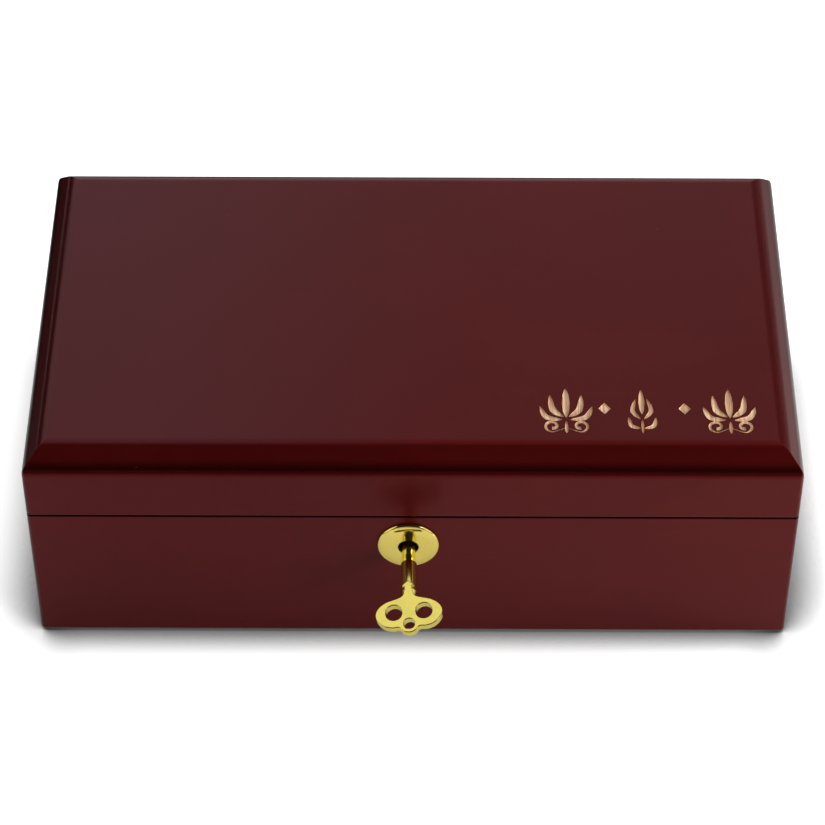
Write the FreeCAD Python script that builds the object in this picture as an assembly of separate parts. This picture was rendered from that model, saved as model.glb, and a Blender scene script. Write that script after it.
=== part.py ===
import FreeCAD, Part
import math
import os

# A keepsake box in lacquered wood: mitred body and lid on two stop hinges, velvet lining,
# a sliding spring bolt in a mortised lock case, a round gilt keyhole plate and a barrel key.
# Millimetres. X runs along the box, Y from the front to the back, Z up.
# The origin is the middle of the felt's underside, on the surface that the box stands on.

V = FreeCAD.Vector
ALONG_X = V(1, 0, 0)
ALONG_Y = V(0, 1, 0)
ALONG_Z = V(0, 0, 1)

# Body and lid
box_length = 255.2
box_depth = 143.5
rim_height = 58.8
lid_height = 28.1
wall = 12.0
corner_round = 1.4
rim_easing = 0.4
foot_easing = 1.2
lid_edge_easing = 0.9

# Lid panel: a flat slab on the rails, with a bevel all round
panel_thickness = 13.1
bevel_inset = 6.3
bevel_drop = 7.0
arris_round = 6.5

# Bottom
felt_thickness = 0.8
felt_inset = 3.0
base_thickness = 4.0
base_rebate = 6.0
base_fit = 0.1

# Lining boards and pads
lining_thickness = 2.0
lining_proud = 3.0
lining_round = 0.9
lip_clearance = 0.5
pad_clearance = 0.3
floor_pad_edge = 2.4
floor_pad_crown = 1.2
lid_pad_edge = 2.0
lid_pad_crown = 1.4
lid_pad_margin = 1.5
pad_draw_in = 1.2

# Stop hinges
hinge_inset = 47.0
hinge_width = 30.0
leaf_thickness = 1.6
leaf_gap = 0.2
leaf_cover = 9.0
leaf_fit = 0.1
knuckle_radius = 2.1
knuckle_count = 5
knuckle_zone = 20.0
knuckle_gap = 0.15
knuckle_relief = 0.25
axis_stand_off = 0.2
hinge_pin_radius = 0.9
pin_press_gap = 0.01
pin_running_gap = 0.05
stop_angle = 95.0
stop_slack = 0.2

# Screws
screw_clearance = 0.02
hinge_screw_radius = 0.9
hinge_screw_head = 1.8
hinge_screw_length = 8.0
hinge_screw_spacing = 18.0
lock_screw_radius = 0.9
lock_screw_head = 1.7
lock_screw_length = 8.0
slot_width = 0.4
slot_depth = 0.4

# Lock, measured from the key's centre on the front face
key_offset = -1.45
key_below_rim = 13.4
case_set_back = 5.0
case_plate = 1.0
case_half_width = 15.0
case_room_below = 8.0
case_room_depth = 4.8
cover_thickness = 1.2
plate_half_width = 19.0
rim_plate_thickness = 1.5
rim_plate_set_back = 4.2
case_fit = 0.1
case_keyhole_clearance = 0.35
plate_screw_inset = 2.4
tongue_slot_clearance = 0.4
tongue_slot_swing = 0.7
guide_thickness = 1.2

# Bolt
bolt_side_clearance = 0.1
bolt_bar_bottom = 3.6
bolt_tail_x = -12.0
bolt_travel = 3.7
bolt_nose_x = 3.6
bolt_nose_step = 0.9
bolt_nose_height = 2.8
bolt_nose_root = -1.0
bolt_nose_ramp = 1.2
bolt_foot_clearance = 0.1
talon_lip_x = -3.2
talon_clearance = 0.3
talon_points = 7
guide_clearance = 0.1
spring_strip = 0.3
spring_touch = 0.05
spring_half_height = 6.0

# Strike on the lid
tongue_clearance = 0.8
tongue_width = 5.0
tongue_thickness = 2.6
tongue_set_back = 7.1
tongue_bottom = 3.4
tongue_ramp = 1.5
notch_clearance = 0.4
notch_depth = 3.4
strike_half_width = 12.0
strike_set_back = 4.8
strike_thickness = 1.5
strike_screw_spacing = 17.0

# Keyhole plate on the front
escutcheon_radius = 10.3
escutcheon_thickness = 1.6
escutcheon_rim = 0.6
escutcheon_dome = 0.12
keyhole_radius = 3.3
keyhole_easing = 0.2
sleeve_radius = 4.3
sleeve_length = 3.0
sleeve_fit = 0.05
key_slot_width = 2.6
key_slot_reach = 7.0

# Key, measured outwards along its own axis from the point where it hangs in the lock
key_droop = 9.0
key_roll = 8.5
key_swing = 1.1
key_pivot_set_back = 4.7
barrel_radius = 2.2
shank_radius = 2.6
barrel_end = -5.3
shoulder_start = 9.3
shoulder_end = 12.0
bow_start = 25.8
bore_radius = 1.55
bore_depth = 8.2
drill_pin_radius = 0.6
drill_pin_set_back = 2.6
bit_radius = 6.4
bit_thickness = 2.0
bit_start = -4.45
bit_width = 2.8
ward_cut_width = 0.7
ward_cut_depth = 1.5
key_turn = 82.0

# Bow of the key, along the axis from the bow's start
bow_thickness = 2.5
neck_top = 2.7
neck_slope_start = -3.0
neck_slope_end = 3.0
shank_tip = 1.6
shank_tip_radius = 1.3
spear_tip = -6.9
spear_barb = -4.1
spear_half_width = 1.95
spear_fullness = 0.62
neck_narrow = -3.7
neck_narrow_half = 1.15
neck_half = 2.05
lobe_across = 5.0
lobe_along = 5.75
lobe_half_length = 6.1
lobe_half_height = 5.6
tail_lobe_along = 9.8
tail_lobe_radius = 3.5
ring_hole_across = 5.0
ring_hole_along = 5.15
ring_hole_radius = 2.78
tail_hole_along = 10.1
tail_hole_radius = 1.85
bow_edge = 0.3

# Places that follow from the sizes above
half_length = box_length / 2
half_depth = box_depth / 2
front_face = -half_depth
total_height = rim_height + lid_height
panel_bottom = total_height - panel_thickness
lid_wall = wall - lip_clearance
base_top = felt_thickness + base_thickness
hinge_axis_y = half_depth + knuckle_radius + axis_stand_off
leaf_reach = hinge_axis_y - half_depth + leaf_cover
key_height = rim_height - key_below_rim
bolt_bar_top = key_below_rim - rim_plate_thickness - guide_thickness - 2 * guide_clearance
bolt_nose_top = bolt_bar_top - bolt_nose_step
bolt_nose_bottom = bolt_nose_top - bolt_nose_height
case_front = front_face + case_set_back
room_front = case_front + case_plate
room_back = room_front + case_room_depth
case_top = rim_height - rim_plate_thickness
room_floor = key_height - case_room_below
key_pivot = V(key_offset, front_face + key_pivot_set_back, key_height)
tongue_x = key_offset + bolt_nose_x + tongue_clearance
tongue_middle = tongue_x + tongue_width / 2
tongue_front = front_face + tongue_set_back
strike_front = front_face + strike_set_back
strike_back = front_face + lid_wall
cut_spill = 1.0


def block(x0, x1, y0, y1, z0, z1):
    """A box between two corners."""
    return Part.makeBox(x1 - x0, y1 - y0, z1 - z0, V(x0, y0, z0))


def rod(start, axis, radius, length):
    """A cylinder from a point along an axis."""
    return Part.makeCylinder(radius, length, start, axis)


def plate_of(points, normal):
    """A flat outline through points, pushed along a vector."""
    corners = [V(*point) for point in points]
    return Part.Face(Part.makePolygon(corners + corners[:1])).extrude(normal)


def edges_at_height(shape, height):
    """The edges that lie wholly at one height."""
    found = []
    for edge in shape.Edges:
        bounds = edge.BoundBox
        if abs(bounds.ZMin - height) < 1e-4 and abs(bounds.ZMax - height) < 1e-4:
            found.append(edge)
    return found


def upright_edges(shape):
    """The edges that run straight up."""
    found = []
    for edge in shape.Edges:
        bounds = edge.BoundBox
        if bounds.ZLength > 1e-3 and bounds.XLength < 1e-4 and bounds.YLength < 1e-4:
            found.append(edge)
    return found


def eased_block(z0, z1, top_easing, bottom_easing):
    """The box's outline from one height to another, with rounded corners and eased edges."""
    shape = block(-half_length, half_length, -half_depth, half_depth, z0, z1)
    shape = shape.makeFillet(corner_round, upright_edges(shape))
    if top_easing:
        shape = shape.makeFillet(top_easing, edges_at_height(shape, z1))
    if bottom_easing:
        shape = shape.makeFillet(bottom_easing, edges_at_height(shape, z0))
    return shape


def hollow(inset, z0, z1):
    """The room inside walls of one thickness."""
    reach_x = half_length - inset
    reach_y = half_depth - inset
    return block(-reach_x, reach_x, -reach_y, reach_y, z0, z1)


def mitre_prism(side, z0, z1):
    """The part of the plan that belongs to one wall, out to the diagonals of its corners."""
    out_x = half_length + cut_spill
    out_y = half_depth + cut_spill
    in_x = half_length - wall - cut_spill
    in_y = half_depth - wall - cut_spill
    if side in ("front", "back"):
        sign = -1 if side == "front" else 1
        plan = [(-out_x, sign * out_y), (out_x, sign * out_y), (in_x, sign * in_y), (-in_x, sign * in_y)]
    else:
        sign = -1 if side == "left" else 1
        plan = [(sign * out_x, -out_y), (sign * out_x, out_y), (sign * in_x, in_y), (sign * in_x, -in_y)]
    return plate_of([(x, y, z0) for x, y in plan], V(0, 0, z1 - z0))


def screw(head_centre, into, radius, head_radius, length):
    """A slotted countersunk screw, with its head's flat at head_centre."""
    cone_depth = head_radius - radius
    shape = Part.makeCone(head_radius, radius, cone_depth, head_centre, into)
    shape = shape.fuse(rod(head_centre + into * cone_depth, into, radius, length - cone_depth))
    slot = block(-slot_width / 2, slot_width / 2, -head_radius, head_radius, -slot_depth, slot_depth)
    if into.z == 0:
        slot.rotate(V(0, 0, 0), ALONG_X, 90)
    slot.translate(head_centre)
    return shape.cut(slot)


def screw_hole(head_centre, into, radius, head_radius, length):
    """The countersunk hole that such a screw sits in, a little larger all round."""
    wide = head_radius + screw_clearance
    narrow = radius + screw_clearance
    cone_depth = wide - narrow
    mouth = rod(head_centre - into * cut_spill, into, wide, cut_spill)
    cone = Part.makeCone(wide, narrow, cone_depth, head_centre, into)
    shaft = rod(head_centre, into, narrow, length + screw_clearance)
    return mouth.fuse([cone, shaft])


def hinge_centres():
    """The middles of the two hinges along the back."""
    return {"left": hinge_inset - half_length, "right": half_length - hinge_inset}


def hinge_screw_places(for_lid):
    """Where the screws of both hinges enter one of the two frames."""
    z = rim_height + (leaf_gap / 2 if for_lid else -leaf_gap / 2)
    y = half_depth - leaf_cover / 2
    into = ALONG_Z if for_lid else -ALONG_Z
    places = []
    for centre in hinge_centres().values():
        for side in (-1, 1):
            places.append((V(centre + side * hinge_screw_spacing / 2, y, z), into))
    return places


def strike_screw_places():
    """The two screws that hold the strike to the lid's front rail."""
    y = tongue_front + tongue_thickness / 2
    places = []
    for side in (-1, 1):
        places.append((V(tongue_middle + side * strike_screw_spacing / 2, y, rim_height), ALONG_Z))
    return places


def lock_screw_places():
    """Two screws down through the rim plate and two through the cover's ears."""
    places = []
    for side in (-1, 1):
        x = key_offset + side * (plate_half_width - plate_screw_inset)
        rim_y = (front_face + rim_plate_set_back + room_back) / 2
        places.append((V(x, rim_y, rim_height), -ALONG_Z))
        places.append((V(x, room_back + cover_thickness, key_height), -ALONG_Y))
    return places


def hinge_recesses(for_lid):
    """The pockets for the hinge leaves in the rim of the back wall or back rail."""
    depth = leaf_gap / 2 + leaf_thickness
    z0, z1 = (rim_height - cut_spill, rim_height + depth) if for_lid else (
        rim_height - depth, rim_height + cut_spill)
    half = hinge_width / 2 + leaf_fit
    cuts = []
    for centre in hinge_centres().values():
        cuts.append(block(centre - half, centre + half, half_depth - leaf_cover - leaf_fit,
                          half_depth + cut_spill, z0, z1))
    for place, into in hinge_screw_places(for_lid):
        cuts.append(screw_hole(place, into, hinge_screw_radius, hinge_screw_head, hinge_screw_length))
    return cuts


def carcass():
    """All four walls of the body in one, before the mitres part them."""
    shape = eased_block(felt_thickness, rim_height, rim_easing, foot_easing)
    shape = shape.cut(hollow(wall, felt_thickness - cut_spill, rim_height + cut_spill))
    return shape.cut(hollow(wall - base_rebate, felt_thickness - cut_spill, base_top))


def keyhole_outline(radius, width, reach, y0, y1):
    """A keyhole through the front: a round hole with a slot below it for the bit."""
    start = V(key_offset, y0, key_height)
    hole = rod(start, ALONG_Y, radius, y1 - y0)
    slot = block(key_offset - width / 2, key_offset + width / 2, y0, y1, key_height - reach, key_height)
    return hole.fuse(slot)


def lock_recesses():
    """The mortise for the lock case, with the beds of its rim plate, cover and screws."""
    low = room_floor - case_plate - case_fit
    half = case_half_width + case_fit
    mortise = block(key_offset - half, key_offset + half, case_front - case_fit,
                    front_face + wall + cut_spill, low, rim_height + cut_spill)
    half = plate_half_width + case_fit
    rim_bed = block(key_offset - half, key_offset + half, front_face + rim_plate_set_back - case_fit,
                    front_face + wall + cut_spill, case_top, rim_height + cut_spill)
    cover_bed = block(key_offset - half, key_offset + half, room_back, front_face + wall + cut_spill,
                      low, rim_height + cut_spill)
    cuts = [mortise, rim_bed, cover_bed]
    for place, into in lock_screw_places():
        cuts.append(screw_hole(place, into, lock_screw_radius, lock_screw_head, lock_screw_length))
    return cuts


def body_walls():
    """Front, back, left and right walls of the body."""
    ring = carcass()
    walls = {}
    for side in ("front", "back", "left", "right"):
        walls[side] = ring.common(mitre_prism(side, felt_thickness - cut_spill, rim_height + cut_spill))
    sleeve_hole = keyhole_outline(sleeve_radius + sleeve_fit, key_slot_width + 2 * sleeve_fit,
                                  key_slot_reach, front_face - cut_spill, case_front)
    walls["front"] = walls["front"].cut([sleeve_hole] + lock_recesses())
    walls["back"] = walls["back"].cut(hinge_recesses(False))
    return walls


def base_panel():
    """The bottom board, let into the rebate of the walls."""
    reach = wall - base_rebate + base_fit
    return hollow(reach, felt_thickness, base_top)


def felt_base():
    """The sheet of felt that the box stands on."""
    return hollow(felt_inset, 0, felt_thickness)


def lining_boards():
    """Velvet-covered boards inside the walls, standing proud of the rim to guide the lid."""
    top = rim_height + lining_proud
    out_x = half_length - wall
    out_y = half_depth - wall
    in_x = out_x - lining_thickness
    in_y = out_y - lining_thickness
    boards = {
        "front": block(-out_x, out_x, -out_y, -in_y, base_top, top),
        "back": block(-out_x, out_x, in_y, out_y, base_top, top),
        "left": block(-out_x, -in_x, -in_y, in_y, base_top, top),
        "right": block(in_x, out_x, -in_y, in_y, base_top, top),
    }
    for side, board in boards.items():
        long_edges = [edge for edge in edges_at_height(board, top) if edge.Length > 2 * lining_thickness]
        boards[side] = board.makeFillet(lining_round, long_edges)
    return boards


def crowned_pad(reach_x, reach_y, seat, edge, crown, up):
    """A stuffed pad: crowned both ways, with sides drawn in between its corners."""
    corners = [(-reach_x, -reach_y), (reach_x, -reach_y), (reach_x, reach_y), (-reach_x, reach_y)]
    middles = [(0, pad_draw_in - reach_y), (reach_x - pad_draw_in, 0),
               (0, reach_y - pad_draw_in), (pad_draw_in - reach_x, 0)]
    arcs = []
    for i in range(4):
        points = [V(*corners[i], seat), V(*middles[i], seat), V(*corners[(i + 1) % 4], seat)]
        arcs.append(Part.Arc(*points).toShape())
    peak = edge + crown
    plan = Part.Face(Part.Wire(arcs)).extrude(V(0, 0, up * (peak + cut_spill)))
    wide = reach_y + cut_spill
    brow = peak - crown / 2 * (wide / reach_y) ** 2
    points = [V(0, y, seat + up * z) for y, z in ((wide, brow), (wide, -cut_spill),
                                                   (-wide, -cut_spill), (-wide, brow))]
    dome = Part.Arc(points[-1], V(0, 0, seat + up * peak), points[0]).toShape()
    sides = [Part.makeLine(start, end) for start, end in zip(points, points[1:])]
    section = Part.Face(Part.Wire([dome] + sides))
    bend = (reach_x ** 2 + (crown / 2) ** 2) / crown
    half_sweep = math.degrees(math.asin((reach_x + cut_spill) / bend))
    centre = V(0, 0, seat + up * (peak - bend))
    section.rotate(centre, ALONG_Y, -half_sweep)
    return plan.common(section.revolve(centre, ALONG_Y, 2 * half_sweep))


def floor_pad():
    """The velvet pad on the bottom, inside the lining."""
    inset = wall + lining_thickness + pad_clearance
    return crowned_pad(half_length - inset, half_depth - inset, base_top,
                       floor_pad_edge, floor_pad_crown, 1)


def lid_pad():
    """The velvet pad on the lid's ceiling."""
    inset = lid_wall + lid_pad_margin
    return crowned_pad(half_length - inset, half_depth - inset, panel_bottom,
                       lid_pad_edge, lid_pad_crown, -1)


def lid_rails():
    """The four mitred rails of the lid."""
    ring = eased_block(rim_height, panel_bottom, 0, lid_edge_easing)
    ring = ring.cut(hollow(lid_wall, rim_height - cut_spill, panel_bottom + cut_spill))
    rails = {}
    for side in ("front", "back", "left", "right"):
        rails[side] = ring.common(mitre_prism(side, rim_height - cut_spill, panel_bottom + cut_spill))
    bed = block(tongue_middle - strike_half_width - case_fit, tongue_middle + strike_half_width + case_fit,
                strike_front - case_fit, strike_back + cut_spill,
                rim_height - cut_spill, rim_height + strike_thickness)
    holes = [screw_hole(place, into, lock_screw_radius, lock_screw_head, lock_screw_length)
             for place, into in strike_screw_places()]
    rails["front"] = rails["front"].cut([bed] + holes)
    rails["back"] = rails["back"].cut(hinge_recesses(True))
    return rails


def bevelled_bar(reach, length):
    """A bar along X with the lid panel's cross-section: bevelled on both sides, with soft arrises."""
    bevel_foot = total_height - bevel_drop
    brow = reach - bevel_inset
    outline = [(-reach, panel_bottom), (reach, panel_bottom), (reach, bevel_foot),
               (brow, total_height), (-brow, total_height), (-reach, bevel_foot)]
    bar = plate_of([(-length / 2, y, z) for y, z in outline], V(length, 0, 0))
    for height in (bevel_foot, total_height):
        arrises = [edge for edge in edges_at_height(bar, height) if edge.BoundBox.XLength > length / 2]
        bar = bar.makeFillet(arris_round, arrises)
    return bar


def lid_panel():
    """The top board of the lid, bevelled all round, with crisp mitres and softly rounded arrises."""
    lengthwise = bevelled_bar(half_depth, box_length + 2 * cut_spill)
    crosswise = bevelled_bar(half_length, box_depth + 2 * cut_spill)
    crosswise.rotate(V(0, 0, 0), ALONG_Z, 90)
    return eased_block(panel_bottom, total_height, 0, 0).common([lengthwise]).common([crosswise])


def knuckle_spans(for_lid):
    """Where the knuckles of one leaf lie along the pin, from the hinge's middle."""
    pitch = knuckle_zone / knuckle_count
    spans = []
    for i in range(knuckle_count):
        if (i % 2 == 1) == for_lid:
            start = i * pitch - knuckle_zone / 2
            spans.append((start + knuckle_gap / 2, start + pitch - knuckle_gap / 2))
    return spans


def hinge_leaf(centre, for_lid):
    """One leaf of a stop hinge. Its heel is slanted towards the pin, so that the two heels
    meet face to face when the lid stands open at the stop angle."""
    up = 1 if for_lid else -1
    near = rim_height + up * leaf_gap / 2
    far = near + up * leaf_thickness
    heel_run = 1 / math.tan(math.radians((stop_angle + stop_slack) / 2))
    front = hinge_axis_y - leaf_reach
    section = [(front, near), (hinge_axis_y + abs(near - rim_height) * heel_run, near),
               (hinge_axis_y + abs(far - rim_height) * heel_run, far), (front, far)]
    start = centre - hinge_width / 2
    leaf = plate_of([(start, y, z) for y, z in section], V(hinge_width, 0, 0))
    low, high = min(near, far), max(near, far)
    back_edge = hinge_axis_y - knuckle_radius - knuckle_relief
    zone = (knuckle_zone + knuckle_gap) / 2
    leaf = leaf.cut(block(centre - zone, centre + zone, back_edge, hinge_axis_y + 2 * knuckle_radius,
                          low, high))
    bore = hinge_pin_radius + (pin_running_gap if for_lid else pin_press_gap)
    for x0, x1 in knuckle_spans(for_lid):
        web = block(centre + x0, centre + x1, back_edge, hinge_axis_y, low, high)
        knuckle = rod(V(centre + x0, hinge_axis_y, rim_height), ALONG_X, knuckle_radius, x1 - x0)
        leaf = leaf.fuse([web, knuckle])
    leaf = leaf.cut(rod(V(centre - zone, hinge_axis_y, rim_height), ALONG_X, bore, 2 * zone))
    for place, into in hinge_screw_places(for_lid):
        if abs(place.x - centre) < hinge_width / 2:
            leaf = leaf.cut(screw_hole(place, into, hinge_screw_radius, hinge_screw_head,
                                       hinge_screw_length))
    return leaf.removeSplitter()


def hinge_pin(centre):
    """The pin of one hinge, held in the body's knuckles."""
    start = V(centre - knuckle_zone / 2, hinge_axis_y, rim_height)
    return rod(start, ALONG_X, hinge_pin_radius, knuckle_zone)


def screws(places, radius, head_radius, length):
    """One group of equal screws."""
    return [screw(place, into, radius, head_radius, length) for place, into in places]


def lock_case():
    """The lock's tray: front plate with its keyhole, side walls, floor, guide rib and rim plate."""
    left = key_offset - case_half_width
    right = key_offset + case_half_width
    low = room_floor - case_plate
    bed = front_face + wall
    guide_low = key_height + bolt_bar_top + guide_clearance
    case = block(left, right, case_front, room_front, low, case_top)
    case = case.fuse([
        block(left, left + case_plate, room_front, room_back, low, case_top),
        block(right - case_plate, right, room_front, room_back, low, case_top),
        block(left, right, room_front, room_back, low, room_floor),
        block(left, key_offset + bolt_nose_x, room_front, room_back, guide_low, guide_low + guide_thickness),
        block(key_offset - plate_half_width, key_offset + plate_half_width,
              front_face + rim_plate_set_back, bed, case_top, rim_height),
    ])
    keyhole = keyhole_outline(barrel_radius + case_keyhole_clearance, key_slot_width, key_slot_reach,
                              case_front - cut_spill, room_front + cut_spill / 2)
    slot = block(tongue_x - tongue_slot_clearance, tongue_x + tongue_width + tongue_slot_clearance,
                 tongue_front - tongue_slot_swing, tongue_front + tongue_thickness + tongue_slot_swing,
                 case_top - cut_spill, rim_height + cut_spill)
    holes = [screw_hole(place, into, lock_screw_radius, lock_screw_head, lock_screw_length)
             for place, into in lock_screw_places()]
    return case.cut([keyhole, slot] + holes).removeSplitter()


def lock_cover():
    """The plate that closes the case, with an ear for a screw at each end."""
    plate = block(key_offset - plate_half_width, key_offset + plate_half_width, room_back,
                  room_back + cover_thickness, room_floor - case_plate, case_top)
    holes = [screw_hole(place, into, lock_screw_radius, lock_screw_head, lock_screw_length)
             for place, into in lock_screw_places()]
    rivet_hole = rod(V(key_offset, room_back - cut_spill, key_height), ALONG_Y,
                     drill_pin_radius + pin_press_gap, cover_thickness + 2 * cut_spill)
    return plate.cut(holes + [rivet_hole])


def drill_pin():
    """The pin in the cover that the key's hollow barrel slips over."""
    tip = front_face + drill_pin_set_back
    return rod(V(key_offset, tip, key_height), ALONG_Y, drill_pin_radius, room_back + cover_thickness - tip)


def talon_wall():
    """The cam side of the talon: where the leading corner of the key's bit passes, seen from
    the bolt, while the bolt gives way by an even share of its travel for each share of the turn."""
    corner = math.hypot(bit_radius, bit_thickness / 2) + talon_clearance
    lead = math.atan2(bit_thickness / 2, bit_radius)
    lift = -(bit_start + bit_width) * math.sin(math.radians(key_droop))
    points = []
    for i in range(talon_points):
        share = i / (talon_points - 1)
        angle = math.radians(180 + key_roll + key_turn * share) - lead
        points.append((corner * math.cos(angle) - bolt_travel * share, corner * math.sin(angle) + lift))
    return points


def lock_bolt():
    """The spring bolt: a bar with a nose for the strike, and a tail with the talon."""
    front = room_front + bolt_side_clearance
    depth = case_room_depth - 2 * bolt_side_clearance
    foot = bolt_foot_clearance - case_room_below
    wall_points = talon_wall()
    wall_top = wall_points[0]
    wall_foot = wall_points[-1]
    outline = [wall_foot, (talon_lip_x, wall_foot[1]), (talon_lip_x, foot), (bolt_tail_x, foot),
               (bolt_tail_x, bolt_bar_top), (bolt_nose_root, bolt_bar_top), (bolt_nose_root, bolt_nose_top),
               (bolt_nose_x - bolt_nose_ramp, bolt_nose_top), (bolt_nose_x, bolt_nose_top - bolt_nose_ramp),
               (bolt_nose_x, bolt_nose_bottom), (bolt_nose_root, bolt_nose_bottom),
               (bolt_nose_root, bolt_bar_bottom), (wall_top[0], bolt_bar_bottom), wall_top]
    corners = [V(key_offset + x, front, key_height + z) for x, z in outline]
    cam = Part.BSplineCurve()
    cam.interpolate([V(key_offset + x, front, key_height + z) for x, z in wall_points])
    edges = [Part.makeLine(a, b) for a, b in zip(corners, corners[1:])]
    return Part.Face(Part.Wire(edges + [cam.toShape()])).extrude(ALONG_Y * depth)


def bolt_spring():
    """A bowed strip of spring steel between the case's end and the bolt's tail."""
    front = room_front + bolt_side_clearance
    start = key_offset - case_half_width + case_plate + spring_touch
    crest = key_offset + bolt_tail_x - spring_touch
    arcs = []
    for ends, middle in ((start + spring_strip, crest), (start, crest - spring_strip)):
        points = [V(ends, front, key_height - spring_half_height), V(middle, front, key_height),
                  V(ends, front, key_height + spring_half_height)]
        arcs.append((points, Part.Arc(*points).toShape()))
    (outer, outer_arc), (inner, inner_arc) = arcs
    strip = Part.Wire([outer_arc, Part.makeLine(outer[2], inner[2]), inner_arc,
                       Part.makeLine(inner[0], outer[0])])
    return Part.Face(strip).extrude(ALONG_Y * (case_room_depth - 2 * bolt_side_clearance))


def strike_plate():
    """The plate under the lid's front rail, with the tongue that drops into the lock."""
    plate = block(tongue_middle - strike_half_width, tongue_middle + strike_half_width,
                  strike_front, strike_back, rim_height, rim_height + strike_thickness)
    foot = key_height + tongue_bottom
    back = tongue_front + tongue_thickness
    tongue = block(tongue_x, tongue_x + tongue_width, tongue_front, back, foot, rim_height)
    notch_bottom = key_height + bolt_nose_bottom - notch_clearance
    notch_top = key_height + bolt_nose_top + notch_clearance
    notch = block(tongue_x - cut_spill, tongue_x + notch_depth, tongue_front - cut_spill, back + cut_spill,
                  notch_bottom, notch_top)
    ramp = plate_of([(tongue_x, tongue_front, foot), (tongue_x + tongue_ramp, tongue_front, foot),
                     (tongue_x, tongue_front, foot + tongue_ramp)], ALONG_Y * tongue_thickness)
    holes = [screw_hole(place, into, lock_screw_radius, lock_screw_head, lock_screw_length)
             for place, into in strike_screw_places()]
    return plate.fuse(tongue).cut([notch, ramp] + holes).removeSplitter()


def escutcheon():
    """The round keyhole plate: slightly coned, with a rolled rim, and a sleeve into the wood."""
    crown = front_face - escutcheon_thickness
    rim_start = escutcheon_radius - escutcheon_rim
    shoulder = crown + escutcheon_dome
    quarter = 1 - math.sqrt(0.5)

    def at(radius, y):
        return V(key_offset + radius, y, key_height)

    rolled = Part.Arc(at(rim_start, shoulder),
                      at(escutcheon_radius - escutcheon_rim * quarter, shoulder + escutcheon_rim * quarter),
                      at(escutcheon_radius, shoulder + escutcheon_rim))
    corners = [at(escutcheon_radius, shoulder + escutcheon_rim), at(escutcheon_radius, front_face),
               at(sleeve_radius, front_face), at(sleeve_radius, front_face + sleeve_length),
               at(keyhole_radius, front_face + sleeve_length), at(keyhole_radius, crown + keyhole_easing),
               at(keyhole_radius + keyhole_easing, crown), at(rim_start, shoulder)]
    edges = [Part.makeLine(a, b) for a, b in zip(corners, corners[1:])]
    section = Part.Face(Part.Wire([rolled.toShape()] + edges))
    disc = section.revolve(V(key_offset, 0, key_height), ALONG_Y, 360)
    slot = block(key_offset - key_slot_width / 2, key_offset + key_slot_width / 2, crown - cut_spill,
                 front_face + sleeve_length + cut_spill, key_height - key_slot_reach, key_height)
    return disc.cut(slot)


def key_shank():
    """The turned part of the key: hollow barrel, shoulder, shank and the taper into the bow."""
    taper = bow_start + neck_slope_start
    tip = bow_start + shank_tip
    outline = [(0, barrel_end), (barrel_radius, barrel_end), (barrel_radius, shoulder_start),
               (shank_radius, shoulder_end), (shank_radius, taper), (shank_tip_radius, tip), (0, tip)]
    corners = [V(radius, -out, 0) for radius, out in outline]
    shank = Part.Face(Part.makePolygon(corners + corners[:1])).revolve(V(0, 0, 0), ALONG_Y, 360)
    return shank


def neck_outline():
    """Half of the spear and neck that lie on the shank, from the tip to inside the bow."""
    def at(across, along):
        return V(across, -(bow_start + along), 0)

    root = lobe_along
    halves = []
    for side in (-1, 1):
        barb = at(side * spear_half_width, spear_barb)
        narrow = at(side * neck_narrow_half, neck_narrow)
        swell = at(side * neck_half, 0)
        flank = at(side * spear_half_width * spear_fullness, (spear_tip + spear_barb) / 2)
        halves.append([Part.Arc(at(0, spear_tip), flank, barb).toShape(), Part.makeLine(barb, narrow),
                       Part.makeLine(narrow, swell), Part.makeLine(swell, at(side * neck_half, root))])
    close = Part.makeLine(at(-neck_half, root), at(neck_half, root))
    return Part.Face(Part.Wire(Part.__sortEdges__(halves[0] + halves[1] + [close])))


def key_bow():
    """The flat of the key: spear, neck, two wide lobes and a small one, pierced by three holes.
    Its rims are chamfered, also those of the holes."""
    reach = 2 * neck_top

    def at(across, along):
        return V(across, -(bow_start + along), -neck_top)

    flat = neck_outline()
    flat.translate(V(0, 0, -neck_top))
    flat = flat.extrude(V(0, 0, reach))
    lobes = []
    for side in (-1, 1):
        oval = Part.Ellipse(at(side * lobe_across, lobe_along), lobe_half_length, lobe_half_height)
        lobes.append(Part.Face(Part.Wire(oval.toShape())).extrude(V(0, 0, reach)))
    lobes.append(rod(at(0, tail_lobe_along), ALONG_Z, tail_lobe_radius, reach))
    flat = flat.fuse(lobes)
    holes = [rod(at(side * ring_hole_across, ring_hole_along), ALONG_Z, ring_hole_radius, reach)
             for side in (-1, 1)]
    holes.append(rod(at(0, tail_hole_along), ALONG_Z, tail_hole_radius, reach))
    flat = flat.cut(holes)
    far = tail_lobe_along + tail_lobe_radius + cut_spill
    half = bow_thickness / 2
    side_view = [(spear_tip - cut_spill, neck_top), (neck_slope_start, neck_top), (neck_slope_end, half),
                 (far, half), (far, -half), (neck_slope_end, -half), (neck_slope_start, -neck_top),
                 (spear_tip - cut_spill, -neck_top)]
    wide = lobe_across + lobe_half_length + cut_spill
    envelope = plate_of([(-wide, -(bow_start + along), up) for along, up in side_view], V(2 * wide, 0, 0))
    flat = flat.common(envelope).removeSplitter()
    upright = upright_edges(flat)
    rims = [edge for edge in flat.Edges if not any(edge.isSame(other) for other in upright)]
    return flat.makeChamfer(bow_edge, rims)


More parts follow.
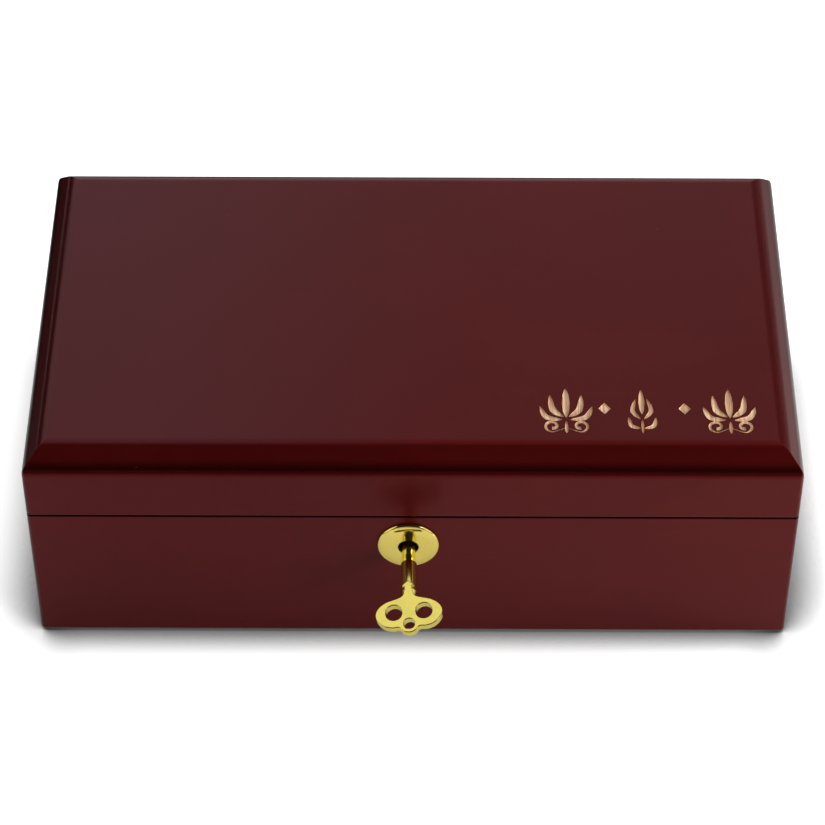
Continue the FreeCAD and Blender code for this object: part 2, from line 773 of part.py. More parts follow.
def key():
    """The barrel key, as it hangs in the lock: drooping, with the bow rolled off the level."""
    bit = block(-bit_radius, 0, -(bit_start + bit_width), -bit_start, -bit_thickness / 2, bit_thickness / 2)
    ward_middle = -(bit_start + bit_width / 2)
    ward = block(-bit_radius - cut_spill, ward_cut_depth - bit_radius, ward_middle - ward_cut_width / 2,
                 ward_middle + ward_cut_width / 2, -bit_thickness, bit_thickness)
    shape = key_shank().fuse([key_bow(), bit.cut(ward)])
    bore = rod(V(0, -(barrel_end - cut_spill), 0), -ALONG_Y, bore_radius, bore_depth + cut_spill)
    shape = shape.cut(bore).removeSplitter()
    shape.rotate(V(0, 0, 0), ALONG_Y, -key_roll)
    shape.rotate(V(0, 0, 0), ALONG_X, key_droop)
    shape.rotate(V(0, 0, 0), ALONG_Z, key_swing)
    shape.translate(key_pivot)
    return shape


def write(name, shapes):
    """Saves one node; several solids go into one compound."""
    pieces = shapes if isinstance(shapes, list) else [shapes]
    solids = [solid for piece in pieces for solid in piece.Solids]
    whole = solids[0] if len(solids) == 1 else Part.makeCompound(solids)
    whole.exportStep(os.path.join("parts", name + ".step"))


def main():
    """Builds every node and saves it."""
    os.makedirs("parts", exist_ok=True)
    for side, shape in body_walls().items():
        write(side + "_board", shape)
    for side, shape in lining_boards().items():
        write("lining_" + side, shape)
    for side, shape in lid_rails().items():
        write("lid_" + side + "_rail", shape)
    write("base_panel", base_panel())
    write("felt_base", felt_base())
    write("floor_pad", floor_pad())
    write("lid_top_panel", lid_panel())
    write("lid_pad", lid_pad())
    for side, centre in hinge_centres().items():
        write("hinge_" + side + "_body_leaf", hinge_leaf(centre, False))
        write("hinge_" + side + "_lid_leaf", hinge_leaf(centre, True))
        write("hinge_" + side + "_pin", hinge_pin(centre))
    write("hinge_body_screws", screws(hinge_screw_places(False), hinge_screw_radius, hinge_screw_head,
                                      hinge_screw_length))
    write("hinge_lid_screws", screws(hinge_screw_places(True), hinge_screw_radius, hinge_screw_head,
                                     hinge_screw_length))
    write("lock_case", lock_case())
    write("lock_cover", lock_cover())
    write("lock_screws", screws(lock_screw_places(), lock_screw_radius, lock_screw_head, lock_screw_length))
    write("drill_pin", drill_pin())
    write("lock_bolt", lock_bolt())
    write("bolt_spring", bolt_spring())
    write("strike_plate", strike_plate())
    write("strike_screws", screws(strike_screw_places(), lock_screw_radius, lock_screw_head,
                                  lock_screw_length))
    write("escutcheon", escutcheon())
    write("key", key())


main()
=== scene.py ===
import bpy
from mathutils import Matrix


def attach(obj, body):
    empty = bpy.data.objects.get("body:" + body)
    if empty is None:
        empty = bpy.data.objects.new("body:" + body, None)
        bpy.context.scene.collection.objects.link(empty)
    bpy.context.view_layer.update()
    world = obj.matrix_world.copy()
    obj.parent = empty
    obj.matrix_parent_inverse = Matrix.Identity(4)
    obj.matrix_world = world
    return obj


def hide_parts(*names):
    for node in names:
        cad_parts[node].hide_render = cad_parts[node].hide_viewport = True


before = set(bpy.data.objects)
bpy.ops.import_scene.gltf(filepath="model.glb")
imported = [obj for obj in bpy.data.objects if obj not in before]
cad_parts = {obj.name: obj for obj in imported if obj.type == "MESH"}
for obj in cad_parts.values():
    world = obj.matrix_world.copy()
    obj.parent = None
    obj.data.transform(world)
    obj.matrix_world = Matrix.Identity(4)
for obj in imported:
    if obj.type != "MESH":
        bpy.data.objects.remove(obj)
"""A lacquered keepsake box with a hinged lid, a mortised lock, a gilt keyhole plate and its key.

Finishes and studio are given in metres, and the sub-assemblies in millimetres. X runs along the
box, Y from the front to the back and Z up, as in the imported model.
"""

import logging
import math
from collections.abc import Callable
from dataclasses import dataclass, field
from enum import Enum
from functools import cache

import bmesh
import bpy
from mathutils import Euler, Matrix, Vector
from mathutils.geometry import delaunay_2d_cdt

Point2 = tuple[float, float]
Point3 = tuple[float, float, float]
Colour = tuple[float, float, float]
Node = bpy.types.Node
Socket = bpy.types.NodeSocket
Tree = bpy.types.NodeTree
Shape = bmesh.types.BMesh
Vert = bmesh.types.BMVert

LOG = logging.getLogger("keepsake_box")
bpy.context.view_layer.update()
MM = 0.001
SHARP_ANGLE = math.radians(32)
SIDES = ("front", "back", "left", "right")


class Body(Enum):
    """The moving bodies that pieces of the scene ride on."""

    BOX = "box"
    LID = "lid"
    KEY = "key"


class Slot(Enum):
    """The record's material slots that pieces of the scene fill."""

    LACQUER = "lacquered_wood"
    GILT = "gilt"
    VELVET = "velvet"
    FELT = "felt"


class Wiring:
    """A node tree with short ways to add and join the nodes that the finishes use."""

    def __init__(self, tree: Tree) -> None:
        """Takes a material's or a group's node tree."""
        self.tree = tree

    def add(self, kind: str, **settings: object) -> Node:
        """Adds a node.

        Args:
            kind: The node's type.
            **settings: Properties of the node.

        Returns:
            The new node.
        """
        node = self.tree.nodes.new(kind)
        for name, value in settings.items():
            setattr(node, name, value)
        return node

    def put(self, socket: Socket, value: object) -> None:
        """Joins a socket to another, or gives it a plain value.

        Args:
            socket: The input to be fed.
            value: An output socket, or a number, or a colour or vector.
        """
        if isinstance(value, Socket):
            self.tree.links.new(value, socket)
        elif socket.type == "RGBA" and len(value) == 3:
            socket.default_value = (*value, 1.0)
        else:
            socket.default_value = value

    def sum(self, kind: str, first: object, second: object = 0.0, third: object = 0.0) -> Socket:
        """Adds a sum of up to three numbers.

        Args:
            kind: The operation.
            first: The first number or socket.
            second: The second number or socket.
            third: The third number or socket.

        Returns:
            The result.
        """
        node = self.add("ShaderNodeMath", operation=kind)
        for socket, value in zip(node.inputs, (first, second, third)):
            self.put(socket, value)
        return node.outputs[0]

    def rest(self, value: object) -> Socket:
        """Gives what a share leaves of the whole."""
        return self.sum("SUBTRACT", 1.0, value)

    def off(self, value: object, mark: float) -> Socket:
        """Gives how far a number lies from a mark, either way."""
        return self.sum("ABSOLUTE", self.sum("SUBTRACT", value, mark))

    def per(self, size: object, count: float = 1.0) -> Socket:
        """Gives a texture's scale from its features' size, or from a size that holds several."""
        return self.sum("DIVIDE", count, size)

    def stretch(self, vector: Socket, scale: Point3) -> Socket:
        """Scales a vector along its three axes.

        Args:
            vector: The vector to be scaled.
            scale: A factor for each axis.

        Returns:
            The scaled vector.
        """
        node = self.add("ShaderNodeVectorMath", operation="MULTIPLY")
        self.put(node.inputs[0], vector)
        self.put(node.inputs[1], scale)
        return node.outputs[0]

    def split(self, vector: Socket) -> tuple[Socket, Socket, Socket]:
        """Splits a vector.

        Args:
            vector: The vector to be split.

        Returns:
            Its X, Y and Z.
        """
        node = self.add("ShaderNodeSeparateXYZ")
        self.put(node.inputs[0], vector)
        return node.outputs[0], node.outputs[1], node.outputs[2]

    def along_grain(self, place: Socket, along_x: bool) -> Socket:
        """Turns the place on a piece so that its Y runs along the grain.

        Args:
            place: The place on the piece.
            along_x: Whether the grain runs along X, and not along Y.

        Returns:
            The turned place.
        """
        node = self.add("ShaderNodeVectorRotate", rotation_type="Z_AXIS")
        self.put(node.inputs["Vector"], place)
        self.put(node.inputs["Angle"], math.pi / 2 if along_x else 0.0)
        return node.outputs[0]

    def noise(self, vector: Socket, scale: object, detail: float = 2.0, roughness: float = 0.5,
              distortion: float = 0.0) -> Socket:
        """Adds a noise.

        Args:
            vector: Where it is read.
            scale: Features for each metre.
            detail: Its octaves.
            roughness: How strong the finer octaves are.
            distortion: How far it is warped.

        Returns:
            The noise, from 0 to 1.
        """
        node = self.add("ShaderNodeTexNoise")
        values = {"Vector": vector, "Scale": scale, "Detail": detail, "Roughness": roughness,
                  "Distortion": distortion}
        for name, value in values.items():
            self.put(node.inputs[name], value)
        return node.outputs["Fac"]

    def span(self, value: object, low: object, high: object, start: object = 0.0,
             end: object = 1.0) -> Socket:
        """Maps one range smoothly on another, and holds the ends.

        Args:
            value: What is mapped.
            low: Where the range begins.
            high: Where it ends.
            start: What low becomes.
            end: What high becomes.

        Returns:
            The mapped number.
        """
        node = self.add("ShaderNodeMapRange", interpolation_type="SMOOTHSTEP")
        for socket, number in zip(node.inputs, (value, low, high, start, end)):
            self.put(socket, number)
        return node.outputs[0]

    def ease(self, mask: Socket, start: float, end: float) -> Socket:
        """Maps a mask smoothly on a range."""
        return self.span(mask, 0.0, 1.0, start, end)

    def mix(self, factor: object, first: object, second: object) -> Socket:
        """Mixes two colours.

        Args:
            factor: How much of the second is taken.
            first: The first colour.
            second: The second colour.

        Returns:
            The mixed colour.
        """
        node = self.add("ShaderNodeMix", data_type="RGBA")
        self.put(node.inputs[0], factor)
        self.put(node.inputs[6], first)
        self.put(node.inputs[7], second)
        return node.outputs[2]

    def bump(self, height: Socket, strength: float, depth: float) -> Socket:
        """Adds a bump.

        Args:
            height: The relief, from 0 to 1.
            strength: How much of it shows.
            depth: The relief's real depth.

        Returns:
            The new normal.
        """
        node = self.add("ShaderNodeBump")
        self.put(node.inputs["Strength"], strength)
        self.put(node.inputs["Distance"], depth)
        self.put(node.inputs["Height"], height)
        return node.outputs["Normal"]

    def place(self, group: Tree, **values: object) -> Node:
        """Places a shared effect and gives it this finish's values.

        Args:
            group: The effect's node group.
            **values: A value or socket for each named input, with _ for a space.

        Returns:
            The group's node.
        """
        node = self.add("ShaderNodeGroup", node_tree=group)
        for name, value in values.items():
            self.put(node.inputs[name.replace("_", " ")], value)
        return node


class Effects:
    """The effects that several finishes share, each a node group that is built once."""

    def group(self, name: str, inputs: dict[str, float], *outputs: str) -> tuple[
            Tree, Wiring, bpy.types.NodeOutputs, bpy.types.NodeInputs]:
        """Starts a group with a Vector input, further number inputs and its number outputs.

        Args:
            name: The group's name.
            inputs: The number inputs and their usual values.
            *outputs: The outputs' names.

        Returns:
            The group, its wiring, what comes into it and what goes out of it.
        """
        tree = bpy.data.node_groups.new(name, "ShaderNodeTree")
        sockets, number = tree.interface, "NodeSocketFloat"
        sockets.new_socket("Vector", in_out="INPUT", socket_type="NodeSocketVector")
        for label, usual in inputs.items():
            socket = sockets.new_socket(label, in_out="INPUT", socket_type=number)
            socket.default_value = usual
        for label in outputs:
            sockets.new_socket(label, in_out="OUTPUT", socket_type=number)
        wiring = Wiring(tree)
        source, sink = wiring.add("NodeGroupInput"), wiring.add("NodeGroupOutput")
        return tree, wiring, source.outputs, sink.inputs

    @cache
    def clouds(self) -> Tree:
        """Broad, soft patches with a finer mottle in them, as in a stained or pressed surface.

        Returns:
            The group, with a Mask from 0 to 1.
        """
        tree, wiring, source, sink = self.group(
            "clouds", {"Patch Size": 0.04, "Mottle": 0.3}, "Mask")
        place, patch = source["Vector"], source["Patch Size"]
        broad = wiring.noise(place, wiring.per(patch), 1.0, 0.4, 0.6)
        fine = wiring.noise(place, wiring.per(patch, 9.0), 3.0)
        mottle = wiring.sum("SUBTRACT", fine, 0.5)
        both = wiring.sum("MULTIPLY_ADD", mottle, source["Mottle"], broad)
        wiring.put(sink["Mask"], wiring.span(both, 0.25, 0.75))
        return tree

    @cache
    def grain(self) -> Tree:
        """Wood figure: long streaks, with short pores along them.

        Returns:
            The group, with Streaks and Pores from 0 to 1. The Vector's Y runs along the grain.
        """
        tree, wiring, source, sink = self.group(
            "grain", {"Streak Width": 0.0012, "Pore Width": 0.0003}, "Streaks", "Pores")
        along = wiring.stretch(source["Vector"], (1.0, 0.06, 1.0))
        wide = wiring.noise(along, wiring.per(source["Streak Width"]), 4.0, 0.62, 0.9)
        fibres = wiring.stretch(source["Vector"], (1.0, 0.035, 1.0))
        pores = wiring.noise(fibres, wiring.per(source["Pore Width"]), 2.0, 0.6)
        wiring.put(sink["Streaks"], wiring.span(wide, 0.3, 0.7))
        wiring.put(sink["Pores"], wiring.span(pores, 0.56, 0.74))
        return tree

    @cache
    def dust(self) -> Tree:
        """Scattered specks of dust.

        Returns:
            The group, with a Mask that is 1 on a speck.
        """
        tree, wiring, source, sink = self.group(
            "dust", {"Spacing": 0.006, "Speck": 0.04, "Share": 0.3}, "Mask")
        cell = wiring.add("ShaderNodeTexVoronoi")
        wiring.put(cell.inputs["Vector"], source["Vector"])
        wiring.put(cell.inputs["Scale"], wiring.per(source["Spacing"]))
        chance = wiring.add("ShaderNodeSeparateColor")
        wiring.put(chance.inputs[0], cell.outputs["Color"])
        kept = wiring.sum("LESS_THAN", chance.outputs[0], source["Share"])
        spread = wiring.sum("ADD", chance.outputs[1], 0.35)
        size = wiring.sum("MULTIPLY", source["Speck"], spread)
        near = wiring.sum("LESS_THAN", cell.outputs["Distance"], size)
        wiring.put(sink["Mask"], wiring.sum("MULTIPLY", near, kept))
        return tree

    @cache
    def edge_wear_and_shade(self) -> Tree:
        """Edges: where a surface turns sharply, broken up so that no line is even.

        Returns:
            The group, with a Mask that is 1 on an edge; the plating uses it for wear, the lacquer
            for painted shade.
        """
        tree, wiring, source, sink = self.group(
            "edge_wear_and_shade", {"Reach": 0.0006, "Patchiness": 0.5, "Full Turn": 0.86}, "Mask")
        eased = wiring.add("ShaderNodeBevel", samples=6)
        wiring.put(eased.inputs["Radius"], source["Reach"])
        plain = wiring.add("ShaderNodeNewGeometry")
        meet = wiring.add("ShaderNodeVectorMath", operation="DOT_PRODUCT")
        wiring.put(meet.inputs[0], eased.outputs[0])
        wiring.put(meet.inputs[1], plain.outputs["Normal"])
        turn = wiring.span(meet.outputs["Value"], 0.995, source["Full Turn"])
        patches = wiring.span(wiring.noise(source["Vector"], 240.0, 3.0), 0.3, 0.7)
        bare = wiring.sum("SUBTRACT", patches, 1.0)
        broken = wiring.sum("MULTIPLY_ADD", bare, source["Patchiness"], 1.0)
        wiring.put(sink["Mask"], wiring.sum("MULTIPLY", turn, broken))
        return tree

    @cache
    def brushing(self) -> Tree:
        """Fine lines left by rubbing along the Vector's X, over a faint unevenness.

        Returns:
            The group, with Lines and Waves from 0 to 1.
        """
        tree, wiring, source, sink = self.group(
            "brushing", {"Line Width": 0.00006, "Wave Size": 0.003}, "Lines", "Waves")
        along = wiring.stretch(source["Vector"], (0.03, 1.0, 1.0))
        lines = wiring.noise(along, wiring.per(source["Line Width"]), 2.0, 0.6)
        wiring.put(sink["Lines"], lines)
        waves = wiring.noise(source["Vector"], wiring.per(source["Wave Size"]), 1.5)
        wiring.put(sink["Waves"], waves)
        return tree

    @cache
    def nap(self) -> Tree:
        """The pile of velvet or felt: single fibres, and patches that are stroked another way.

        Returns:
            The group, with Fibres and Stroke from 0 to 1.
        """
        tree, wiring, source, sink = self.group(
            "nap", {"Fibre": 0.00025, "Patch": 0.02}, "Fibres", "Stroke")
        fibres = wiring.noise(source["Vector"], wiring.per(source["Fibre"]), 3.0, 0.65)
        stroke = wiring.noise(source["Vector"], wiring.per(source["Patch"]), 2.0, 0.5, 1.2)
        wiring.put(sink["Fibres"], fibres)
        wiring.put(sink["Stroke"], wiring.span(stroke, 0.3, 0.7))
        return tree


EFFECTS = Effects()


def start_material(name: str) -> tuple[bpy.types.Material, Wiring, Node, Socket]:
    """Starts a material.

    Args:
        name: Its name.

    Returns:
        The material, its wiring, its shader and the place on the piece.
    """
    material = bpy.data.materials.new(name)
    material.use_nodes = True
    wiring = Wiring(material.node_tree)
    place = wiring.add("ShaderNodeTexCoord").outputs["Object"]
    return material, wiring, material.node_tree.nodes["Principled BSDF"], place


@dataclass(frozen=True)
class Finish:
    """What every finish has: a name and a colour. A finish is made into a material once."""

    name: str
    colour: Colour

    @cache
    def material(self) -> bpy.types.Material:
        """Makes the finish's material at its first use.

        Returns:
            The material.
        """
        material, wiring, shader, place = start_material(self.name)
        material.diffuse_color = (*self.colour, 1.0)
        self.wire(wiring, shader, place)
        return material

    def wire(self, wiring: Wiring, shader: Node, place: Socket) -> None:
        """Wires the material; each finish does this its own way."""
        raise NotImplementedError(self.name)


@dataclass(frozen=True)
class Lacquer(Finish):
    """Dark red-brown lacquer on wood: a thin even film, faintly clouded, with a few specks of
    dust. It is darker on its edges and along lines at given heights; the dark edges and the line
    along the seam between lid and body are painted shade. The top may have a painted grey sheen,
    a reflection of the room, towards one end.
    """

    deep: Colour = (0.038, 0.002, 0.002)
    # The near black that the painted shade on edges, and the lines, darken to.
    edge: Colour = (0.006, 0.0006, 0.0006)
    dust: Colour = (0.32, 0.2, 0.19)
    gloss_tint: Colour = (1.0, 0.07, 0.08)
    gloss: float = 0.5
    roughness: float = 0.24
    roughness_spread: float = 0.03
    dust_roughness: float = 0.4
    cloud_size: float = 0.07
    streak_width: float = 0.006
    pore_width: float = 0.0006
    dust_spacing: float = 0.006
    edge_reach: float = 0.001
    edge_share: float = 0.9
    lines: tuple[Point2, ...] = ((0.0588, 0.001),)
    line_share: float = 0.85
    joint: float = 0.0738
    joint_reach: Point2 = (0.0009, 0.0018)
    # A painted grey sheen, a reflection of the room, over the left end of the top.
    sheen_painted: bool = False
    painted_sheen: Colour = (0.04, 0.0125, 0.0165)
    painted_sheen_reach: Point2 = (0.03, -0.11)
    painted_sheen_height: Point2 = (0.0862, 0.0868)
    ripples: float = 260.0
    relief: float = 0.00004

    def tone(self, wiring: Wiring, place: Socket, clouds: Socket, grain: Node) -> Socket:
        """Wires the film's colour, without the dust.

        Args:
            wiring: The material's wiring.
            place: The place on the piece.
            clouds: The clouds' mask.
            grain: The grain's node.

        Returns:
            The colour.
        """
        across, _, height = wiring.split(place)
        tone = wiring.mix(wiring.ease(clouds, 0.25, 0.75), self.deep, self.colour)
        tone = wiring.mix(wiring.ease(grain.outputs["Streaks"], 0.0, 0.22), tone, self.deep)
        # Painted reflection: the top turns greyer towards its left end, as if mirroring the room.
        if self.sheen_painted:
            top = wiring.span(height, *self.painted_sheen_height)
            sheen_painted = wiring.sum("MULTIPLY", wiring.span(across, *self.painted_sheen_reach), top)
            tone = wiring.mix(sheen_painted, tone, self.painted_sheen)
        # Painted shade: the lacquer's edges are darkened, mostly to deepen the seam under the lid.
        on_edge = wiring.place(EFFECTS.edge_wear_and_shade(), Vector=place, Reach=self.edge_reach,
                            Patchiness=0.2, Full_Turn=0.95).outputs["Mask"]
        off_joint = wiring.span(wiring.off(height, self.joint), *self.joint_reach)
        on_edge = wiring.sum("MULTIPLY", on_edge, off_joint)
        tone = wiring.mix(wiring.ease(on_edge, 0.0, self.edge_share), tone, self.edge)
        # Darker lines at given heights; the body's line at the lid's seam is painted shade.
        for line, reach in self.lines:
            near = wiring.span(wiring.off(height, line), reach, 0.0, 0.0, self.line_share)
            tone = wiring.mix(near, tone, self.edge)
        return tone

    def wire(self, wiring: Wiring, shader: Node, place: Socket) -> None:
        """Wires the lacquer.

        Args:
            wiring: The material's wiring.
            shader: Its shader.
            place: The place on the piece.
        """
        clouds = wiring.place(EFFECTS.clouds(), Vector=place, Patch_Size=self.cloud_size,
                              Mottle=0.35).outputs["Mask"]
        grain = wiring.place(EFFECTS.grain(), Vector=wiring.along_grain(place, True),
                             Streak_Width=self.streak_width, Pore_Width=self.pore_width)
        dust = wiring.place(EFFECTS.dust(), Vector=place, Spacing=self.dust_spacing, Speck=0.03,
                            Share=0.14).outputs["Mask"]
        tone = self.tone(wiring, place, clouds, grain)
        wiring.put(shader.inputs["Base Color"],
                   wiring.mix(wiring.ease(dust, 0.0, 0.8), tone, self.dust))
        sheen = wiring.ease(clouds, self.roughness + self.roughness_spread,
                            self.roughness - self.roughness_spread)
        wiring.put(shader.inputs["Roughness"],
                   wiring.sum("MULTIPLY_ADD", dust, self.dust_roughness, sheen))
        ripple = wiring.noise(place, self.ripples, 3.0, 0.55)
        relief = wiring.sum("MULTIPLY_ADD", grain.outputs["Pores"], -0.5, ripple)
        wiring.put(shader.inputs["Normal"], wiring.bump(relief, 0.25, self.relief))
        shader.inputs["Specular IOR Level"].default_value = self.gloss
        shader.inputs["Specular Tint"].default_value = (*self.gloss_tint, 1.0)


@dataclass(frozen=True)
class BareWood(Finish):
    """Pale wood with the lacquer cut away, or never lacquered: streaks and pores along it."""

    dark: Colour
    singe: Colour = (0.2, 0.08, 0.045)
    streak_width: float = 0.0011
    pore_width: float = 0.00035
    along_x: bool = False
    relief: float = -0.00012

    def wire(self, wiring: Wiring, shader: Node, place: Socket) -> None:
        """Wires the bare wood.

        Args:
            wiring: The material's wiring.
            shader: Its shader.
            place: The place on the piece.
        """
        grain = wiring.place(EFFECTS.grain(), Vector=wiring.along_grain(place, self.along_x),
                             Streak_Width=self.streak_width, Pore_Width=self.pore_width)
        streaks, pores = grain.outputs["Streaks"], grain.outputs["Pores"]
        tone = wiring.mix(wiring.ease(streaks, 0.0, 0.9), self.colour, self.dark)
        tone = wiring.mix(wiring.ease(pores, 0.0, 0.7), tone, self.singe)
        wiring.put(shader.inputs["Base Color"], tone)
        wiring.put(shader.inputs["Roughness"], wiring.ease(streaks, 0.7, 0.82))
        relief = wiring.sum("ADD", streaks, pores)
        wiring.put(shader.inputs["Normal"], wiring.bump(relief, 0.6, self.relief))


@dataclass(frozen=True)
class Plating(Finish):
    """Bright or rubbed metal, with a faint unevenness in its polish and paler edges."""

    edge: Colour
    roughness: float
    tarnish: float = 0.15
    dulled: float = 0.72
    brushed: float = 0.02
    relief: float = 0.000004
    line_width: float = 0.00005
    wave_size: float = 0.0025
    tarnish_size: float = 0.006
    edge_reach: float = 0.00025

    def wire(self, wiring: Wiring, shader: Node, place: Socket) -> None:
        """Wires the plating.

        Args:
            wiring: The material's wiring.
            shader: Its shader.
            place: The place on the piece.
        """
        brushing = wiring.place(EFFECTS.brushing(), Vector=place, Line_Width=self.line_width,
                                Wave_Size=self.wave_size)
        lines, waves = brushing.outputs["Lines"], brushing.outputs["Waves"]
        clouds = wiring.place(EFFECTS.clouds(), Vector=place, Patch_Size=self.tarnish_size,
                              Mottle=0.5).outputs["Mask"]
        on_edge = wiring.place(EFFECTS.edge_wear_and_shade(), Vector=place, Reach=self.edge_reach,
                            Patchiness=0.4).outputs["Mask"]
        dull = tuple(self.dulled * part for part in self.colour)
        tone = wiring.mix(wiring.ease(clouds, 0.0, self.tarnish), self.colour, dull)
        tone = wiring.mix(wiring.ease(on_edge, 0.0, 0.6), tone, self.edge)
        wiring.put(shader.inputs["Base Color"], tone)
        sheen = wiring.span(lines, 0.3, 0.7, self.roughness * 0.8, self.roughness * 1.25)
        wiring.put(shader.inputs["Roughness"], wiring.sum("MULTIPLY_ADD", clouds, 0.05, sheen))
        relief = wiring.sum("MULTIPLY_ADD", lines, self.brushed, waves)
        wiring.put(shader.inputs["Normal"], wiring.bump(relief, 1.0, self.relief))
        shader.inputs["Metallic"].default_value = 1.0


@dataclass(frozen=True)
class Pile(Finish):
    """Velvet or felt: a soft pile, lighter where it is seen edge on."""

    shade: Colour
    fibre: float = 0.00025
    patch: float = 0.045
    sheen: float = 0.5
    sheen_roughness: float = 0.4
    sheen_gain: float = 7.0
    relief: float = 0.0002

    def wire(self, wiring: Wiring, shader: Node, place: Socket) -> None:
        """Wires the pile.

        Args:
            wiring: The material's wiring.
            shader: Its shader.
            place: The place on the piece.
        """
        nap = wiring.place(EFFECTS.nap(), Vector=place, Fibre=self.fibre, Patch=self.patch)
        fibres, stroke = nap.outputs["Fibres"], nap.outputs["Stroke"]
        tone = wiring.mix(wiring.ease(stroke, 0.1, 0.35), self.colour, self.shade)
        tone = wiring.mix(wiring.span(fibres, 0.35, 0.65, 0.45, 0.0), tone, self.shade)
        wiring.put(shader.inputs["Base Color"], tone)
        wiring.put(shader.inputs["Roughness"], wiring.span(fibres, 0.3, 0.7, 0.95, 0.8))
        wiring.put(shader.inputs["Normal"], wiring.bump(fibres, 0.7, self.relief))
        shader.inputs["Sheen Weight"].default_value = self.sheen
        shader.inputs["Sheen Roughness"].default_value = self.sheen_roughness
        tint = (min(1.0, self.sheen_gain * part) for part in self.colour)
        shader.inputs["Sheen Tint"].default_value = (*tint, 1.0)


# Its line at 0.0588 m is painted shade in the seam between lid and body.
LACQUER = Lacquer("dark_red_lacquer", (0.053, 0.003, 0.003))
LID_LACQUER = Lacquer("dark_red_lacquer_with_a_painted_sheen", LACQUER.colour,
                      lines=((0.0808, 0.0026),), sheen_painted=True)
CUT_WOOD = BareWood("cut_wood", (0.98, 0.7, 0.45), dark=(0.6, 0.32, 0.18),
                    singe=(0.3, 0.13, 0.07))
RAW_BOARD = BareWood("raw_board", (0.5, 0.3, 0.15), dark=(0.3, 0.15, 0.07), streak_width=0.003,
                     pore_width=0.0005, along_x=True)
GILT = Plating("bright_gilt", (0.95, 0.77, 0.18), edge=(1.0, 0.88, 0.42), roughness=0.08)
KEY_GILT = Plating("key_gilt", (0.8, 0.67, 0.15), edge=(0.95, 0.83, 0.38), roughness=0.1)
BRASS = Plating("rubbed_brass", (0.66, 0.46, 0.16), edge=(0.85, 0.68, 0.34), roughness=0.26,
                tarnish=0.6, brushed=0.8, relief=0.000006)
SPRING = Plating("blued_spring_steel", (0.34, 0.36, 0.4), edge=(0.6, 0.62, 0.66), roughness=0.3,
                 tarnish=0.5, brushed=0.8, relief=0.000006)
VELVET = Pile("wine_velvet", (0.085, 0.006, 0.012), shade=(0.02, 0.001, 0.003))
FELT = Pile("foot_felt", (0.035, 0.006, 0.007), shade=(0.012, 0.002, 0.003), fibre=0.0005,
            patch=0.012, sheen=0.3, relief=0.00035)


def dress(finish: Finish, *nodes: str) -> None:
    """Gives CAD nodes their finish.

    Args:
        finish: The finish they get.
        *nodes: The nodes' names.
    """
    for name in nodes:
        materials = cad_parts[name].data.materials
        materials.clear()
        materials.append(finish.material())
        LOG.info("node %s: %s", name, finish.name)


def new_piece(name: str, shape: Shape, finishes: list[Finish], body: Body,
              node: str) -> bpy.types.Object:
    """Makes a piece of a shape, puts it on a body and hides the CAD node it stands in for.

    Args:
        name: The piece's name.
        shape: Its faces; it is freed here.
        finishes: Its finishes, in the order of the faces' material numbers.
        body: The body it rides on.
        node: The CAD node it replaces.

    Returns:
        The piece.
    """
    mesh = bpy.data.meshes.new(name)
    bmesh.ops.recalc_face_normals(shape, faces=shape.faces)
    shape.to_mesh(mesh)
    shape.free()
    mesh.shade_smooth()
    mesh.set_sharp_from_angle(angle=SHARP_ANGLE)
    for finish in finishes:
        mesh.materials.append(finish.material())
    piece = bpy.data.objects.new(name, mesh)
    bpy.context.scene.collection.objects.link(piece)
    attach(piece, body.value)
    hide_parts(node)
    level = piece.modifiers.new("level", "WEIGHTED_NORMAL")
    level.keep_sharp = True
    LOG.info("piece %s: %d faces", name, len(mesh.polygons))
    return piece


def circle(radius: float, count: int, start: float = 0.0, turns: int = 1) -> list[Vector]:
    """Works out points on a circle round the origin.

    Args:
        radius: Its radius.
        count: How many points.
        start: The first point's angle.
        turns: 1 for counter-clockwise, -1 for clockwise.

    Returns:
        The points.
    """
    angles = [start + turns * 2 * math.pi * i / count for i in range(count)]
    return [Vector((math.cos(angle), math.sin(angle))) * radius for angle in angles]


def bridge(shape: Shape, rings: list[list[Vert]]) -> None:
    """Joins closed rings of points, each to the next.

    Args:
        shape: The shape that gets the faces.
        rings: The rings, all with as many points.
    """
    for low, high in zip(rings, rings[1:]):
        for i in range(len(low)):
            j = (i + 1) % len(low)
            shape.faces.new((low[i], low[j], high[j], high[i]))


def close_layers(shape: Shape, under: dict[tuple[int, int], Vert],
                 over: dict[tuple[int, int], Vert], columns: int, rows: int) -> None:
    """Makes a closed sheet of two layers of points.

    Args:
        shape: The shape that gets the faces.
        under: The lower layer's points by column and row.
        over: The upper layer's.
        columns: How many columns of faces there are.
        rows: How many rows.
    """
    for i in range(columns):
        for j in range(rows):
            around = ((i, j), (i + 1, j), (i + 1, j + 1), (i, j + 1))
            shape.faces.new([over[k] for k in around])
            shape.faces.new([under[k] for k in around[::-1]])
    rim = [(i, 0) for i in range(columns)] + [(columns, j) for j in range(rows)]
    rim += [(i, rows) for i in range(columns, 0, -1)] + [(0, j) for j in range(rows, 0, -1)]
    for first, second in zip(rim, rim[1:] + rim[:1]):
        shape.faces.new((under[first], under[second], over[second], over[first]))


